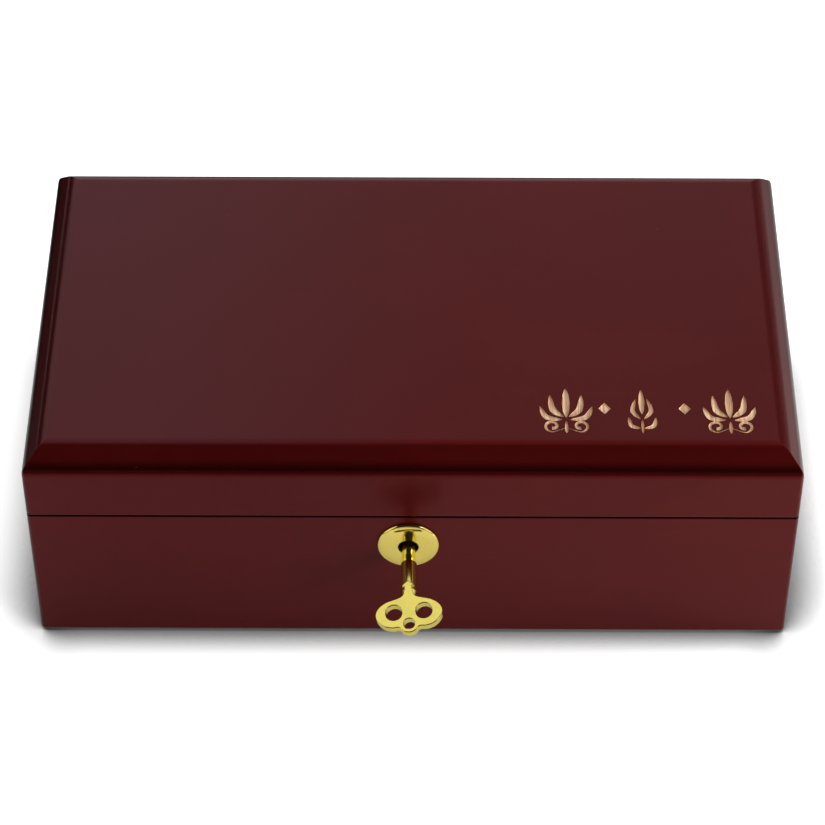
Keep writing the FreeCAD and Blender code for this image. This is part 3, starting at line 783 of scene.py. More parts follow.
@dataclass(frozen=True)
class Stroke:
    """One cut of the ornament: a bent line that swells and tapers."""

    points: tuple[Point2, ...]
    widths: tuple[float, ...]
    steps: int = 22
    nudge: float = 0.01

    def outline(self) -> list[Vector]:
        """Works out the closed outline of the cut.

        Returns:
            The outline's points, in millimetres, counter-clockwise.
        """
        left, right = [], []
        for i in range(self.steps + 1):
            t = i / self.steps
            ahead = self.at(min(1.0, t + self.nudge)) - self.at(max(0.0, t - self.nudge))
            side = Vector((-ahead.y, ahead.x)).normalized() * self.width(t) / 2
            left.append(self.at(t) + side)
            right.append(self.at(t) - side)
        return right + left[::-1]

    def locate(self, t: float, last: int) -> tuple[int, float]:
        """Finds a place among values that are evenly spaced along the cut.

        Args:
            t: From 0 at its start to 1 at its end.
            last: The last value's number.

        Returns:
            The number of the value before the place, and the share of the way to the next.
        """
        i = min(int(t * last), last - 1)
        return i, t * last - i

    def at(self, t: float) -> Vector:
        """Gives the place on the cut's middle line.

        Args:
            t: From 0 at its start to 1 at its end.

        Returns:
            The place, on a smooth curve through the points.
        """
        last = len(self.points) - 1
        i, u = self.locate(t, last)
        p = [Vector(self.points[min(max(k, 0), last)]) for k in (i - 1, i, i + 1, i + 2)]
        return 0.5 * ((2 * p[1]) + (p[2] - p[0]) * u
                      + (2 * p[0] - 5 * p[1] + 4 * p[2] - p[3]) * u * u
                      + (3 * p[1] - p[0] - 3 * p[2] + p[3]) * u ** 3)

    def width(self, t: float) -> float:
        """Gives the cut's width, in millimetres, at a share of its length."""
        i, u = self.locate(t, len(self.widths) - 1)
        return self.widths[i] * (1 - u) + self.widths[i + 1] * u

    def mirrored(self) -> "Stroke":
        """Gives the cut's mirror image, left for right."""
        return Stroke(tuple((-x, y) for x, y in self.points), self.widths)


@dataclass
class Ornament:
    """The engraved ornament on the lid: two palmettes, a bud and two lozenges in a row."""

    middle_y: float = -49.3
    palmettes_x: tuple[float, float] = (50.3, 104.0)
    bud_x: float = 75.2
    lozenges_x: tuple[float, float] = (63.0, 89.3)
    lozenge_rise: float = 0.6
    lozenge_reach: Point2 = (2.0, 2.6)
    tip_width: float = 0.12
    volute_start: float = -100.0
    volute_close: float = 0.62
    volute_steps: int = 9

    def leaf(self, base: Point2, bend: Point2, tip: Point2, width: float) -> Stroke:
        """Makes a pointed leaf.

        Args:
            base: Where it starts.
            bend: What it curves through.
            tip: Where it ends.
            width: Its widest.

        Returns:
            The leaf.
        """
        widths = (self.tip_width, width * 0.8, width, width * 0.75, self.tip_width)
        return Stroke((base, bend, tip), widths)

    def volute(self, foot: Point2, centre: Point2, radius: float, turn: float,
               width: float) -> Stroke:
        """Makes a scroll that winds inwards.

        Args:
            foot: Where its stem starts.
            centre: What it winds round.
            radius: Its outer radius.
            turn: How far it winds, in degrees.
            width: Its width at the eye.

        Returns:
            The scroll.
        """
        points = [foot]
        for i in range(self.volute_steps + 1):
            share = i / self.volute_steps
            angle = math.radians(self.volute_start + turn * share)
            reach = radius * (1 - self.volute_close * share)
            points.append((centre[0] + reach * math.cos(angle),
                           centre[1] + reach * math.sin(angle)))
        widths = (self.tip_width, width * 0.55, width * 0.7, width * 0.6, width)
        return Stroke(tuple(points), widths)

    def palmette(self) -> list[Stroke]:
        """Makes the five leaves, two scrolls and stem of a palmette.

        Returns:
            The cuts, round the palmette's own middle.
        """
        half = [self.leaf((0.9, -3.2), (4.3, 0.0), (5.2, 6.6), 2.3),
                self.leaf((1.4, -4.6), (6.4, -3.4), (8.6, 1.4), 2.1),
                self.volute((0.7, -8.4), (4.6, -7.4), 2.7, 380, 1.5)]
        middle = [self.leaf((0.0, -3.6), (0.0, 3.0), (0.0, 9.6), 2.6),
                  self.leaf((0.0, -10.6), (0.0, -8.2), (0.0, -5.2), 1.2)]
        return middle[:1] + half + [stroke.mirrored() for stroke in half] + middle[1:]

    def bud(self) -> list[Stroke]:
        """Makes the slim bud between the lozenges.

        Returns:
            The cuts, round the bud's own middle.
        """
        half = [self.leaf((0.6, -4.2), (3.0, -0.4), (1.8, 5.0), 1.6),
                self.leaf((0.6, -8.4), (3.6, -7.2), (4.5, -3.4), 1.6)]
        middle = [self.leaf((0.0, -2.0), (0.0, 3.6), (0.0, 9.0), 2.0),
                  self.leaf((0.0, -10.6), (0.0, -7.4), (0.0, -4.4), 0.9)]
        return middle[:1] + half + [stroke.mirrored() for stroke in half] + middle[1:]

    def outlines(self) -> list[list[Vector]]:
        """Works out every outline of the ornament, in its place on the lid.

        Returns:
            The outlines, in millimetres.
        """
        placed = []
        groups = [(x, self.palmette()) for x in self.palmettes_x] + [(self.bud_x, self.bud())]
        for x, strokes in groups:
            middle = Vector((x, self.middle_y))
            placed += [[point + middle for point in stroke.outline()] for stroke in strokes]
        across, along = self.lozenge_reach
        for x in self.lozenges_x:
            middle = Vector((x, self.middle_y + self.lozenge_rise))
            corners = ((across, 0.0), (0.0, along), (-across, 0.0), (0.0, -along))
            placed.append([middle + Vector(corner) for corner in corners])
        return placed


@dataclass
class Lid:
    """The lid: four mitred rails, and a bevelled top board with an engraved ornament."""

    half_length: float = 127.6
    half_depth: float = 71.75
    bottom: float = 73.8
    bevel_foot: float = 79.9
    top: float = 86.9
    bevel_inset: float = 6.3
    arris_round: float = 6.5
    arris_steps: int = 12
    corner_round: float = 1.4
    mitre_round: float = 0.35
    mitre_start: float = 0.6
    corner_steps: int = 4
    engraving_depth: float = 0.4
    ornament: Ornament = field(default_factory=Ornament)

    def profile(self) -> list[Point2]:
        """Works out the board's edge, with both arrises rounded.

        Returns:
            Steps of inset and height.
        """
        corners = [(0.0, self.bottom), (0.0, self.bevel_foot), (self.bevel_inset, self.top),
                   (2 * self.bevel_inset, self.top)]
        line = [corners[0]]
        for before, corner, after in zip(corners, corners[1:], corners[2:]):
            line += self.rounded(Vector(before), Vector(corner), Vector(after))
        return line

    def rounded(self, before: Vector, corner: Vector, after: Vector) -> list[Point2]:
        """Rounds one corner of the edge with an arc.

        Args:
            before: The point before the corner.
            corner: The corner.
            after: The point after it.

        Returns:
            The points of the arc.
        """
        into, out = (corner - before).normalized(), (after - corner).normalized()
        turn = into.angle(out)
        start = corner - into * self.arris_round * math.tan(turn / 2)
        inward = (out - into * math.cos(turn)) / math.sin(turn)
        points = []
        for i in range(self.arris_steps + 1):
            angle = turn * i / self.arris_steps
            moved = into * math.sin(angle) + inward * (1 - math.cos(angle))
            place = start + self.arris_round * moved
            points.append((place.x, place.y))
        return points

    def ring(self, inset: float, height: float) -> list[Point3]:
        """Works out one level's outline. Its corners are round at the foot, and nearly crisp
        along the mitres.

        Args:
            inset: How far it lies inside the board's foot.
            height: Its height.

        Returns:
            The outline's points, in millimetres.
        """
        points = []
        share = min(1.0, inset / self.mitre_start)
        radius = self.corner_round + (self.mitre_round - self.corner_round) * share
        x, y = self.half_length - inset - radius, self.half_depth - inset - radius
        for quarter, (sx, sy) in enumerate(((1, 1), (-1, 1), (-1, -1), (1, -1))):
            for i in range(self.corner_steps + 1):
                angle = math.pi / 2 * (quarter + i / self.corner_steps)
                points.append((sx * x + radius * math.cos(angle),
                               sy * y + radius * math.sin(angle), height))
        return points

    def top_board(self) -> Shape:
        """Builds the board: rounded rings up to the flat, the flat with the ornament cut out,
        and the floors and walls of the cuts.

        Returns:
            The shape; its faces of material 1 are the cuts.
        """
        shape = bmesh.new()
        rings = [[shape.verts.new(Vector(point) * MM) for point in self.ring(inset, height)]
                 for inset, height in self.profile()]
        bridge(shape, rings)
        shape.faces.new(rings[0][::-1])
        self.fill_flat(shape, rings[-1])
        return shape

    def fill_flat(self, shape: Shape, edge: list[Vert]) -> None:
        """Fills the flat inside the last ring and cuts the ornament into it.

        Args:
            shape: The board so far.
            edge: The last ring's points.
        """
        places = [Vector((vert.co.x / MM, vert.co.y / MM)) for vert in edge]
        loops = [list(range(len(places)))]
        for outline in self.ornament.outlines():
            loops.append(list(range(len(places), len(places) + len(outline))))
            places += outline
        found, _, triangles, from_verts, _, from_faces = delaunay_2d_cdt(
            places, [], loops, 1, 1e-5)
        tops, floors = {}, {}
        for i, origins in enumerate(from_verts):
            rim = [k for k in origins if k < len(edge)]
            if rim:
                tops[i] = edge[rim[0]]
        for corners, origins in zip(triangles, from_faces):
            cut = any(k > 0 for k in origins)
            known, height = (floors, self.top - self.engraving_depth) if cut else (tops, self.top)
            for k in corners:
                if k not in known:
                    known[k] = shape.verts.new(Vector((found[k].x, found[k].y, height)) * MM)
            face = shape.faces.new([known[k] for k in corners])
            face.material_index = int(cut)
        self.add_walls(shape, tops, floors)

    def add_walls(self, shape: Shape, tops: dict[int, Vert], floors: dict[int, Vert]) -> None:
        """Joins the flat to the floors of the cuts.

        Args:
            shape: The board so far.
            tops: The flat's points by number.
            floors: The floors' points by number.
        """
        numbers = {vert: k for k, vert in floors.items()}
        open_edges = [spot for spot in shape.edges
                      if len(spot.link_faces) == 1 and all(vert in numbers for vert in spot.verts)]
        for spot in open_edges:
            first, second = (numbers[vert] for vert in spot.verts)
            if first in tops and second in tops:
                wall = shape.faces.new((floors[first], floors[second], tops[second], tops[first]))
                wall.material_index = 1

    def build(self) -> None:
        """Builds the top board and dresses the rails."""
        new_piece("engraved_lid_board", self.top_board(), [LID_LACQUER, CUT_WOOD], Body.LID,
                  "lid_top_panel")
        dress(LACQUER, *(f"lid_{side}_rail" for side in SIDES))


@dataclass
class Carcass:
    """The body: four mitred boards, the bottom, and the felt it stands on."""

    felt_half_length: float = 124.6
    felt_half_depth: float = 68.75
    felt_top: float = 0.8
    spacing: float = 3.0

    def build(self) -> None:
        """Dresses the boards and lays the felt."""
        dress(LACQUER, *(f"{side}_board" for side in SIDES))
        dress(RAW_BOARD, "base_panel")
        felt = new_piece("foot_felt", self.felt(), [FELT], Body.BOX, "felt_base")

    def felt(self) -> Shape:
        """Builds the felt as a closed thin sheet.

        Returns:
            The shape.
        """
        shape = bmesh.new()
        columns = round(2 * self.felt_half_length / self.spacing)
        rows = round(2 * self.felt_half_depth / self.spacing)
        under, over = {}, {}
        for layer, height in ((under, 0.0), (over, self.felt_top)):
            for i in range(columns + 1):
                for j in range(rows + 1):
                    x = self.felt_half_length * (2 * i / columns - 1)
                    y = self.felt_half_depth * (2 * j / rows - 1)
                    layer[i, j] = shape.verts.new(Vector((x, y, height)) * MM)
        close_layers(shape, under, over, columns, rows)
        return shape


@dataclass
class Pad:
    """A velvet pad: crowned in the middle, drawn in along its sides, with a rolled edge."""

    name: str
    node: str
    body: Body
    reach: Point2
    seat: float
    edge: float
    crown: float
    up: int
    draw_in: float = 1.2
    roll: float = 1.1
    roll_steps: int = 5
    spacing: float = 2.6

    def plan(self, u: float, v: float) -> Point2:
        """Gives the place in plan of a point of the pad.

        Args:
            u: From -1 to 1 along the pad.
            v: From -1 to 1 across it.

        Returns:
            The place, in millimetres.
        """
        x = u * (self.reach[0] - self.draw_in * (1 - v * v))
        y = v * (self.reach[1] - self.draw_in * (1 - u * u))
        return x, y

    def height(self, u: float, v: float) -> float:
        """Gives the pad's thickness at a point, with the edge rolled over.

        Args:
            u: From -1 to 1 along the pad.
            v: From -1 to 1 across it.

        Returns:
            The thickness, in millimetres.
        """
        full = self.edge + self.crown * (1 - 0.5 * u * u - 0.5 * v * v)
        near = min((1 - abs(u)) * self.reach[0], (1 - abs(v)) * self.reach[1])
        if near >= self.roll:
            return full
        return full - self.roll + math.sqrt(max(0.0, self.roll ** 2 - (self.roll - near) ** 2))

    def stations(self, reach: float) -> list[float]:
        """Works out the lines across the pad, close together at its edge.

        Args:
            reach: The pad's half size in that direction.

        Returns:
            The lines, from -1 to 1.
        """
        turns = [math.pi / 2 * i / self.roll_steps for i in range(self.roll_steps + 1)]
        close = [self.roll * (1 - math.cos(turn)) for turn in turns]
        count = round((reach - self.roll) / self.spacing)
        inner = [(reach - self.roll) * i / count for i in range(count)]
        half = inner + [reach - near for near in close[::-1]]
        return [-x / reach for x in half[:0:-1]] + [x / reach for x in half]

    def shape(self) -> Shape:
        """Builds the pad as a closed shape.

        Returns:
            The shape.
        """
        shape = bmesh.new()
        us, vs = self.stations(self.reach[0]), self.stations(self.reach[1])
        face, back = {}, {}
        for i, u in enumerate(us):
            for j, v in enumerate(vs):
                x, y = self.plan(u, v)
                top = self.seat + self.up * self.height(u, v)
                face[i, j] = shape.verts.new(Vector((x, y, top)) * MM)
                back[i, j] = shape.verts.new(Vector((x, y, self.seat)) * MM)
        close_layers(shape, back, face, len(us) - 1, len(vs) - 1)
        return shape

    def build(self) -> None:
        """Builds the pad."""
        piece = new_piece(self.name, self.shape(), [VELVET], self.body, self.node)


@dataclass
class Lining:
    """The velvet lining: four covered boards, a pad on the floor and a pad under the lid."""

    floor_pad: Pad = field(default_factory=lambda: Pad(
        "velvet_floor_pad", "floor_pad", Body.BOX, reach=(113.3, 57.45), seat=4.8, edge=2.4,
        crown=1.2, up=1))
    lid_pad: Pad = field(default_factory=lambda: Pad(
        "velvet_lid_pad", "lid_pad", Body.LID, reach=(114.6, 58.75), seat=73.8, edge=2.0,
        crown=1.4, up=-1))

    def build(self) -> None:
        """Builds the pads and dresses the boards."""
        self.floor_pad.build()
        self.lid_pad.build()
        dress(VELVET, *(f"lining_{side}" for side in SIDES))


@dataclass
class Hinges:
    """The two stop hinges at the back, with their pins and screws."""

    sides: tuple[str, ...] = ("left", "right")
    parts: tuple[str, ...] = ("body_leaf", "lid_leaf", "pin")
    screws: tuple[str, ...] = ("hinge_body_screws", "hinge_lid_screws")

    def build(self) -> None:
        """Dresses the hinges."""
        leaves = [f"hinge_{side}_{part}" for side in self.sides for part in self.parts]
        dress(BRASS, *leaves, *self.screws)


@dataclass
class Lock:
    """The mortised lock with its spring bolt, and the strike on the lid."""

    brass_parts: tuple[str, ...] = ("lock_case", "lock_cover", "lock_screws", "lock_bolt",
                                    "strike_plate", "strike_screws")
    steel_parts: tuple[str, ...] = ("drill_pin", "bolt_spring")

    def build(self) -> None:
        """Dresses the lock."""
        dress(BRASS, *self.brass_parts)
        dress(SPRING, *self.steel_parts)


@dataclass
class PiercedPlate:
    """A stamped plate with rounded rims, pierced by holes. Its face may be tilted or domed.

    The outer line runs counter-clockwise and the holes' run clockwise. A narrow flat margin
    inside each rim keeps the face's shading even.
    """

    outer: list[Vector]
    holes: list[list[Vector]]
    edge: float
    lift: Callable[[Vector], float]
    back: Callable[[Vector], float]
    inside: list[Vector] = field(default_factory=list)
    edge_steps: int = 3
    margin: float = 0.08
    sharpest: float = 0.6

    def drawn_in(self, loop: list[Vector], inset: float) -> list[Vector]:
        """Moves a rim's line into the metal.

        Args:
            loop: The line, with the metal on its left.
            inset: How far it moves.

        Returns:
            The moved line.
        """
        moved = []
        for before, point, after in zip(loop[-1:] + loop[:-1], loop, loop[1:] + loop[:1]):
            first, second = (point - before).normalized(), (after - point).normalized()
            square = Vector((-first.y, first.x))
            side = (square + Vector((-second.y, second.x))).normalized()
            moved.append(point + side * inset / max(self.sharpest, side.dot(square)))
        return moved

    def levels(self) -> list[tuple[float, bool, float]]:
        """Works out the rim's section, from the face's margin round to the back's.

        Returns:
            Steps of inset, whether it lies on the face's side, and rise over face or back.
        """
        turns = [math.pi / 2 * i / self.edge_steps for i in range(self.edge_steps + 1)]
        half = [(self.edge * (1 - math.sin(turn)), self.edge * (1 - math.cos(turn)))
                for turn in turns]
        half.insert(0, (self.edge + self.margin, 0.0))
        return ([(inset, True, -drop) for inset, drop in half]
                + [(inset, False, drop) for inset, drop in half[::-1]])

    def build(self, shape: Shape, placing: Matrix) -> None:
        """Adds the plate to a shape.

        Args:
            shape: The shape it becomes part of.
            placing: Its place, in millimetres.
        """
        faces, backs, flat = [], [], []
        for loop in (self.outer, *self.holes):
            rings = []
            for inset, is_face, rise in self.levels():
                ring = []
                for point in self.drawn_in(loop, inset):
                    height = self.lift(point) if is_face else self.back(point)
                    place = Vector((point.x, point.y, height + rise))
                    ring.append(shape.verts.new(placing @ place * MM))
                rings.append(ring)
            bridge(shape, rings)
            faces += rings[0]
            backs += rings[-1]
            flat.append(self.drawn_in(loop, self.edge + self.margin))
        self.cap(shape, placing, flat, faces, backs)

    def cap(self, shape: Shape, placing: Matrix, flat: list[list[Vector]], faces: list[Vert],
            backs: list[Vert]) -> None:
        """Fills the plate's face and back.

        Args:
            shape: The shape it becomes part of.
            placing: Its place, in millimetres.
            flat: The rims' lines on the face.
            faces: The rims' points on the face.
            backs: The rims' points on the back.
        """
        loops, places = [], []
        for loop in flat:
            numbers = list(range(len(places), len(places) + len(loop)))
            loops.append(numbers if loop is flat[0] else numbers[::-1])
            places += loop
        for point in self.inside:
            for verts, height in ((faces, self.lift(point)), (backs, self.back(point))):
                place = Vector((point.x, point.y, height))
                verts.append(shape.verts.new(placing @ place * MM))
        found = delaunay_2d_cdt(places + self.inside, [], loops, 1, 1e-6)
        for corners, origins in zip(found[2], found[5]):
            if any(k > 0 for k in origins):
                continue
            numbers = [found[3][k][0] for k in corners]
            shape.faces.new([faces[k] for k in numbers])
            shape.faces.new([backs[k] for k in numbers[::-1]])


@dataclass
class Key:
    """The gilt barrel key as it hangs in the lock. Its flat bow has two wide lobes and a small
    one, and runs out over the shank in a spear. Across is from the key's axis. Along is from the
    bow's start, and out is from the pivot, both towards the tail.
    """

    pivot: Point3 = (-1.45, -67.05, 45.4)
    droop: float = 9.0
    roll: float = 8.5
    swing: float = 1.1
    bow_start: float = 25.8
    turned: tuple[Point2, ...] = (
        (1.55, 2.9), (1.55, -5.3), (2.0, -5.3), (2.2, -5.1), (2.2, 9.1), (2.26, 9.5),
        (2.54, 11.8), (2.6, 12.2), (2.6, 22.8), (2.5, 23.3), (1.4, 27.1), (1.2, 27.4))
    bit: tuple[Point2, ...] = (
        (-1.8, -4.45), (-6.4, -4.45), (-6.4, -3.4), (-4.9, -3.4), (-4.9, -2.7), (-6.4, -2.7),
        (-6.4, -1.65), (-1.8, -1.65))
    bit_thickness: float = 2.0
    bit_edge: float = 0.12
    spear: tuple[Point2, ...] = ((0.0, -5.7), (0.6, -5.3), (1.25, -4.75), (1.95, -3.9))
    bow: tuple[Point2, ...] = (
        (1.15, -3.6), (1.45, -1.9), (1.95, -0.4), (3.3, 0.5), (5.3, 1.1), (7.7, 1.85),
        (9.7, 3.2), (10.85, 4.9), (11.05, 6.6), (10.2, 8.7), (8.2, 10.55), (5.6, 11.3),
        (3.95, 11.2), (3.05, 11.5), (2.45, 12.3), (1.35, 13.05), (0.0, 13.3))
    ring_hole: Point3 = (5.0, 5.8, 2.75)
    tail_hole: Point3 = (0.0, 10.1, 1.85)
    tip_height: float = 3.0
    tail_height: float = 1.25
    bow_thickness: float = 2.5
    bow_edge: float = 0.26
    steps: int = 5
    around: int = 48

    def placing(self) -> Matrix:
        """Gives the key's place.

        Returns:
            The place, in millimetres: rolled, then drooping, then swung.
        """
        turn = Matrix.Rotation(math.radians(self.swing), 4, "Z")
        turn = turn @ Matrix.Rotation(math.radians(self.droop), 4, "X")
        turn = turn @ Matrix.Rotation(math.radians(-self.roll), 4, "Y")
        return Matrix.Translation(self.pivot) @ turn

    def flat_place(self, across: float, along: float) -> Vector:
        """Gives a place on the bow, in the key's own plan."""
        return Vector((across, -(self.bow_start + along)))

    def outline(self) -> list[Vector]:
        """Works out the bow's outline, from the spear's tip.

        Returns:
            The outline's points, in the key's plan, counter-clockwise.
        """
        smooth = Stroke(self.bow, (1.0, 1.0))
        count = self.steps * (len(self.bow) - 1)
        half = list(self.spear) + [tuple(smooth.at(i / count)) for i in range(count + 1)]
        left = [(-across, along) for across, along in half]
        return [self.flat_place(*place) for place in left + half[-2:0:-1]]

    def hole(self, across: float, along: float, radius: float) -> list[Vector]:
        """Works out a hole's rim, clockwise.

        Args:
            across: Its middle's place across the key.
            along: Its middle's place along the key.
            radius: Its radius.

        Returns:
            The rim's points.
        """
        middle = self.flat_place(across, along)
        return [middle + point for point in circle(radius, self.around, turns=-1)]

    def face_height(self, point: Vector) -> float:
        """Gives the height of the bow's face: one flat from the spear's tip to the tail.

        Args:
            point: A place in the key's plan.

        Returns:
            The height over the key's axis.
        """
        tip, tail = self.spear[0][1], self.bow[-1][1]
        share = (-point.y - self.bow_start - tip) / (tail - tip)
        return self.tip_height + (self.tail_height - self.tip_height) * share

    def back_height(self, point: Vector) -> float:
        """Gives the height of the bow's back over the key's axis."""
        return self.face_height(point) - self.bow_thickness

    def add_turned(self, shape: Shape, placing: Matrix) -> None:
        """Adds the turned part: the bored barrel, its shoulder, the shank and the taper.

        Args:
            shape: The shape it becomes part of.
            placing: The key's place.
        """
        rings = []
        for radius, out in self.turned:
            places = [Vector((point.x, -out, point.y)) for point in circle(radius, self.around)]
            rings.append([shape.verts.new(placing @ place * MM) for place in places])
        bridge(shape, rings)
        shape.faces.new(rings[0])
        shape.faces.new(rings[-1])

    def build(self) -> None:
        """Builds the key."""
        shape, placing = bmesh.new(), self.placing()
        self.add_turned(shape, placing)
        across, along, radius = self.ring_hole
        holes = [self.hole(across, along, radius), self.hole(-across, along, radius),
                 self.hole(*self.tail_hole)]
        PiercedPlate(self.outline(), holes, self.bow_edge, self.face_height,
                     self.back_height).build(shape, placing)
        half = self.bit_thickness / 2
        bit = [Vector((x, -out)) for x, out in self.bit]
        PiercedPlate(bit, [], self.bit_edge, lambda point: half, lambda point: -half,
                     edge_steps=1).build(shape, placing)
        new_piece("barrel_key", shape, [KEY_GILT], Body.KEY, "key")


@dataclass
class KeyholePlate:
    """The round gilt keyhole plate: gently domed, with a rolled rim, and a sleeve into the
    wood. The keyhole is round, with a slot below it for the key's bit.
    """

    middle: Point3 = (-1.45, -71.75, 45.4)
    radius: float = 10.3
    thickness: float = 1.6
    rim_drop: float = 0.8
    dome_power: int = 6
    rolled: float = 0.45
    rolled_steps: int = 4
    hole: float = 3.3
    hole_points: int = 40
    slot_half: float = 1.3
    slot_reach: float = 7.0
    sleeve_radius: float = 4.3
    sleeve_length: float = 3.0
    sleeve_lap: float = 0.1
    sleeve_edge: float = 0.05
    around: int = 72
    dome_rounds: tuple[float, ...] = (4.4, 5.4, 6.4, 7.3, 8.1, 8.7, 9.2, 9.5)
    dome_points: int = 48
    dome_twist: float = 0.06
    slot_clearance: Point2 = (0.3, 0.4)

    def placing(self) -> Matrix:
        """Gives the plate's place, in millimetres, with its face turned to the front."""
        return Matrix.Translation(self.middle) @ Matrix.Rotation(math.pi / 2, 4, "X")

    def dome(self, point: Vector) -> float:
        """Gives the height of the plate's face, which falls away faster towards the rim."""
        share = point.length / self.radius
        return self.thickness - self.rim_drop * share ** self.dome_power

    def slotted(self, radius: float) -> list[Vector]:
        """Works out a round line that is open below, as wide as the slot for the key's bit.

        Args:
            radius: The line's radius.

        Returns:
            The points, counter-clockwise.
        """
        gap = math.asin(self.slot_half / radius)
        first, last = -math.pi / 2 + gap, 1.5 * math.pi - gap
        angles = [first + (last - first) * i / self.hole_points
                  for i in range(self.hole_points + 1)]
        return [Vector((math.cos(angle), math.sin(angle))) * radius for angle in angles]

    def inside_points(self) -> list[Vector]:
        """Works out the points that carry the dome, clear of the slot.

        Returns:
            The points, on circles round the keyhole.
        """
        beside, below = self.slot_half, self.slot_reach
        beside, below = beside + self.slot_clearance[0], below + self.slot_clearance[1]
        points = []
        for i, radius in enumerate(self.dome_rounds):
            points += [point for point in circle(radius, self.dome_points, i * self.dome_twist)
                       if abs(point.x) > beside or point.y > 0 or point.length > below]
        return points

    def build(self) -> None:
        """Builds the plate and its sleeve."""
        shape, placing = bmesh.new(), self.placing()
        round_line, foot = self.slotted(self.hole), -self.slot_reach
        keyhole = [*round_line, Vector((-self.slot_half, foot)), Vector((self.slot_half, foot))]
        PiercedPlate(circle(self.radius, self.around), [keyhole[::-1]], self.rolled, self.dome,
                     lambda point: 0.0, self.inside_points(),
                     self.rolled_steps).build(shape, placing)
        sleeve = self.slotted(self.sleeve_radius) + round_line[::-1]
        PiercedPlate(sleeve, [], self.sleeve_edge, lambda point: self.sleeve_lap,
                     lambda point: -self.sleeve_length, edge_steps=1).build(shape, placing)
        new_piece("keyhole_plate", shape, [GILT], Body.BOX, "escutcheon")


AIM = (0.0, 0.0, 0.04)


def facing(place: Point3, front: str) -> Euler:
    """Gives the turn that makes something at a place face the box."""
    return (Vector(AIM) - Vector(place)).to_track_quat(front, "Y").to_euler()


def panel(name: str, half: Point2, material: bpy.types.Material) -> bpy.types.Object:
    """Makes a flat panel.

    Args:
        name: Its name.
        half: Half its size, in metres.
        material: Its material.

    Returns:
        The panel, linked to the scene.
    """
    shape = bmesh.new()
    across, up = half
    corners = ((-across, -up), (across, -up), (across, up), (-across, up))
    shape.faces.new([shape.verts.new((x, y, 0.0)) for x, y in corners])
    mesh = bpy.data.meshes.new(name)
    shape.to_mesh(mesh)
    shape.free()
    mesh.materials.append(material)
    flat = bpy.data.objects.new(name, mesh)
    bpy.context.scene.collection.objects.link(flat)
    return flat


@dataclass(frozen=True)
class Lamp:
    """A soft lamp: a flat panel that faces the box. The polish mirrors it only if it may."""

    name: str
    place: Point3
    size: Point2
    power: float
    mirrored: bool = False

    def build(self) -> None:
        """Hangs the lamp."""
        data = bpy.data.lights.new(self.name, "AREA")
        data.shape = "RECTANGLE"
        data.size, data.size_y = self.size
        data.energy = self.power
        lamp = bpy.data.objects.new(self.name, data)
        lamp.location = self.place
        lamp.rotation_euler = facing(self.place, "-Z")
        lamp.visible_glossy = self.mirrored
        bpy.context.scene.collection.objects.link(lamp)
        LOG.info("lamp %s", self.name)


@dataclass(frozen=True)
class Card:
    """A flat card, so that the polish has something darker than the room to mirror. It may be
    paler at its foot. The camera doesn't see it.
    """

    name: str
    place: Point3
    size: Point2
    tone: float = 0.03
    foot_tone: float = 0.03
    flecks: float = 400.0
    fleck_spread: float = 0.1

    def material(self) -> bpy.types.Material:
        """Makes the card's matt material.

        Returns:
            The material.
        """
        material, wiring, shader, place = start_material(self.name)
        up = self.size[1] / 2
        height = wiring.span(wiring.split(place)[1], -up, up)
        low, high = (
            wiring.mix(height, (self.foot_tone * part,) * 3, (self.tone * part,) * 3)
            for part in (1.0 - self.fleck_spread, 1.0 + self.fleck_spread))
        fleck = wiring.noise(place, self.flecks)
        wiring.put(shader.inputs["Base Color"], wiring.mix(fleck, low, high))
        shader.inputs["Roughness"].default_value = 0.9
        shader.inputs["Specular IOR Level"].default_value = 0.0
        return material

    def build(self) -> None:
        """Stands the card up."""
        card = panel(self.name, (self.size[0] / 2, self.size[1] / 2), self.material())
        card.location = self.place
        card.rotation_euler = facing(self.place, "Z")
        card.visible_camera = False
        LOG.info("card %s", self.name)


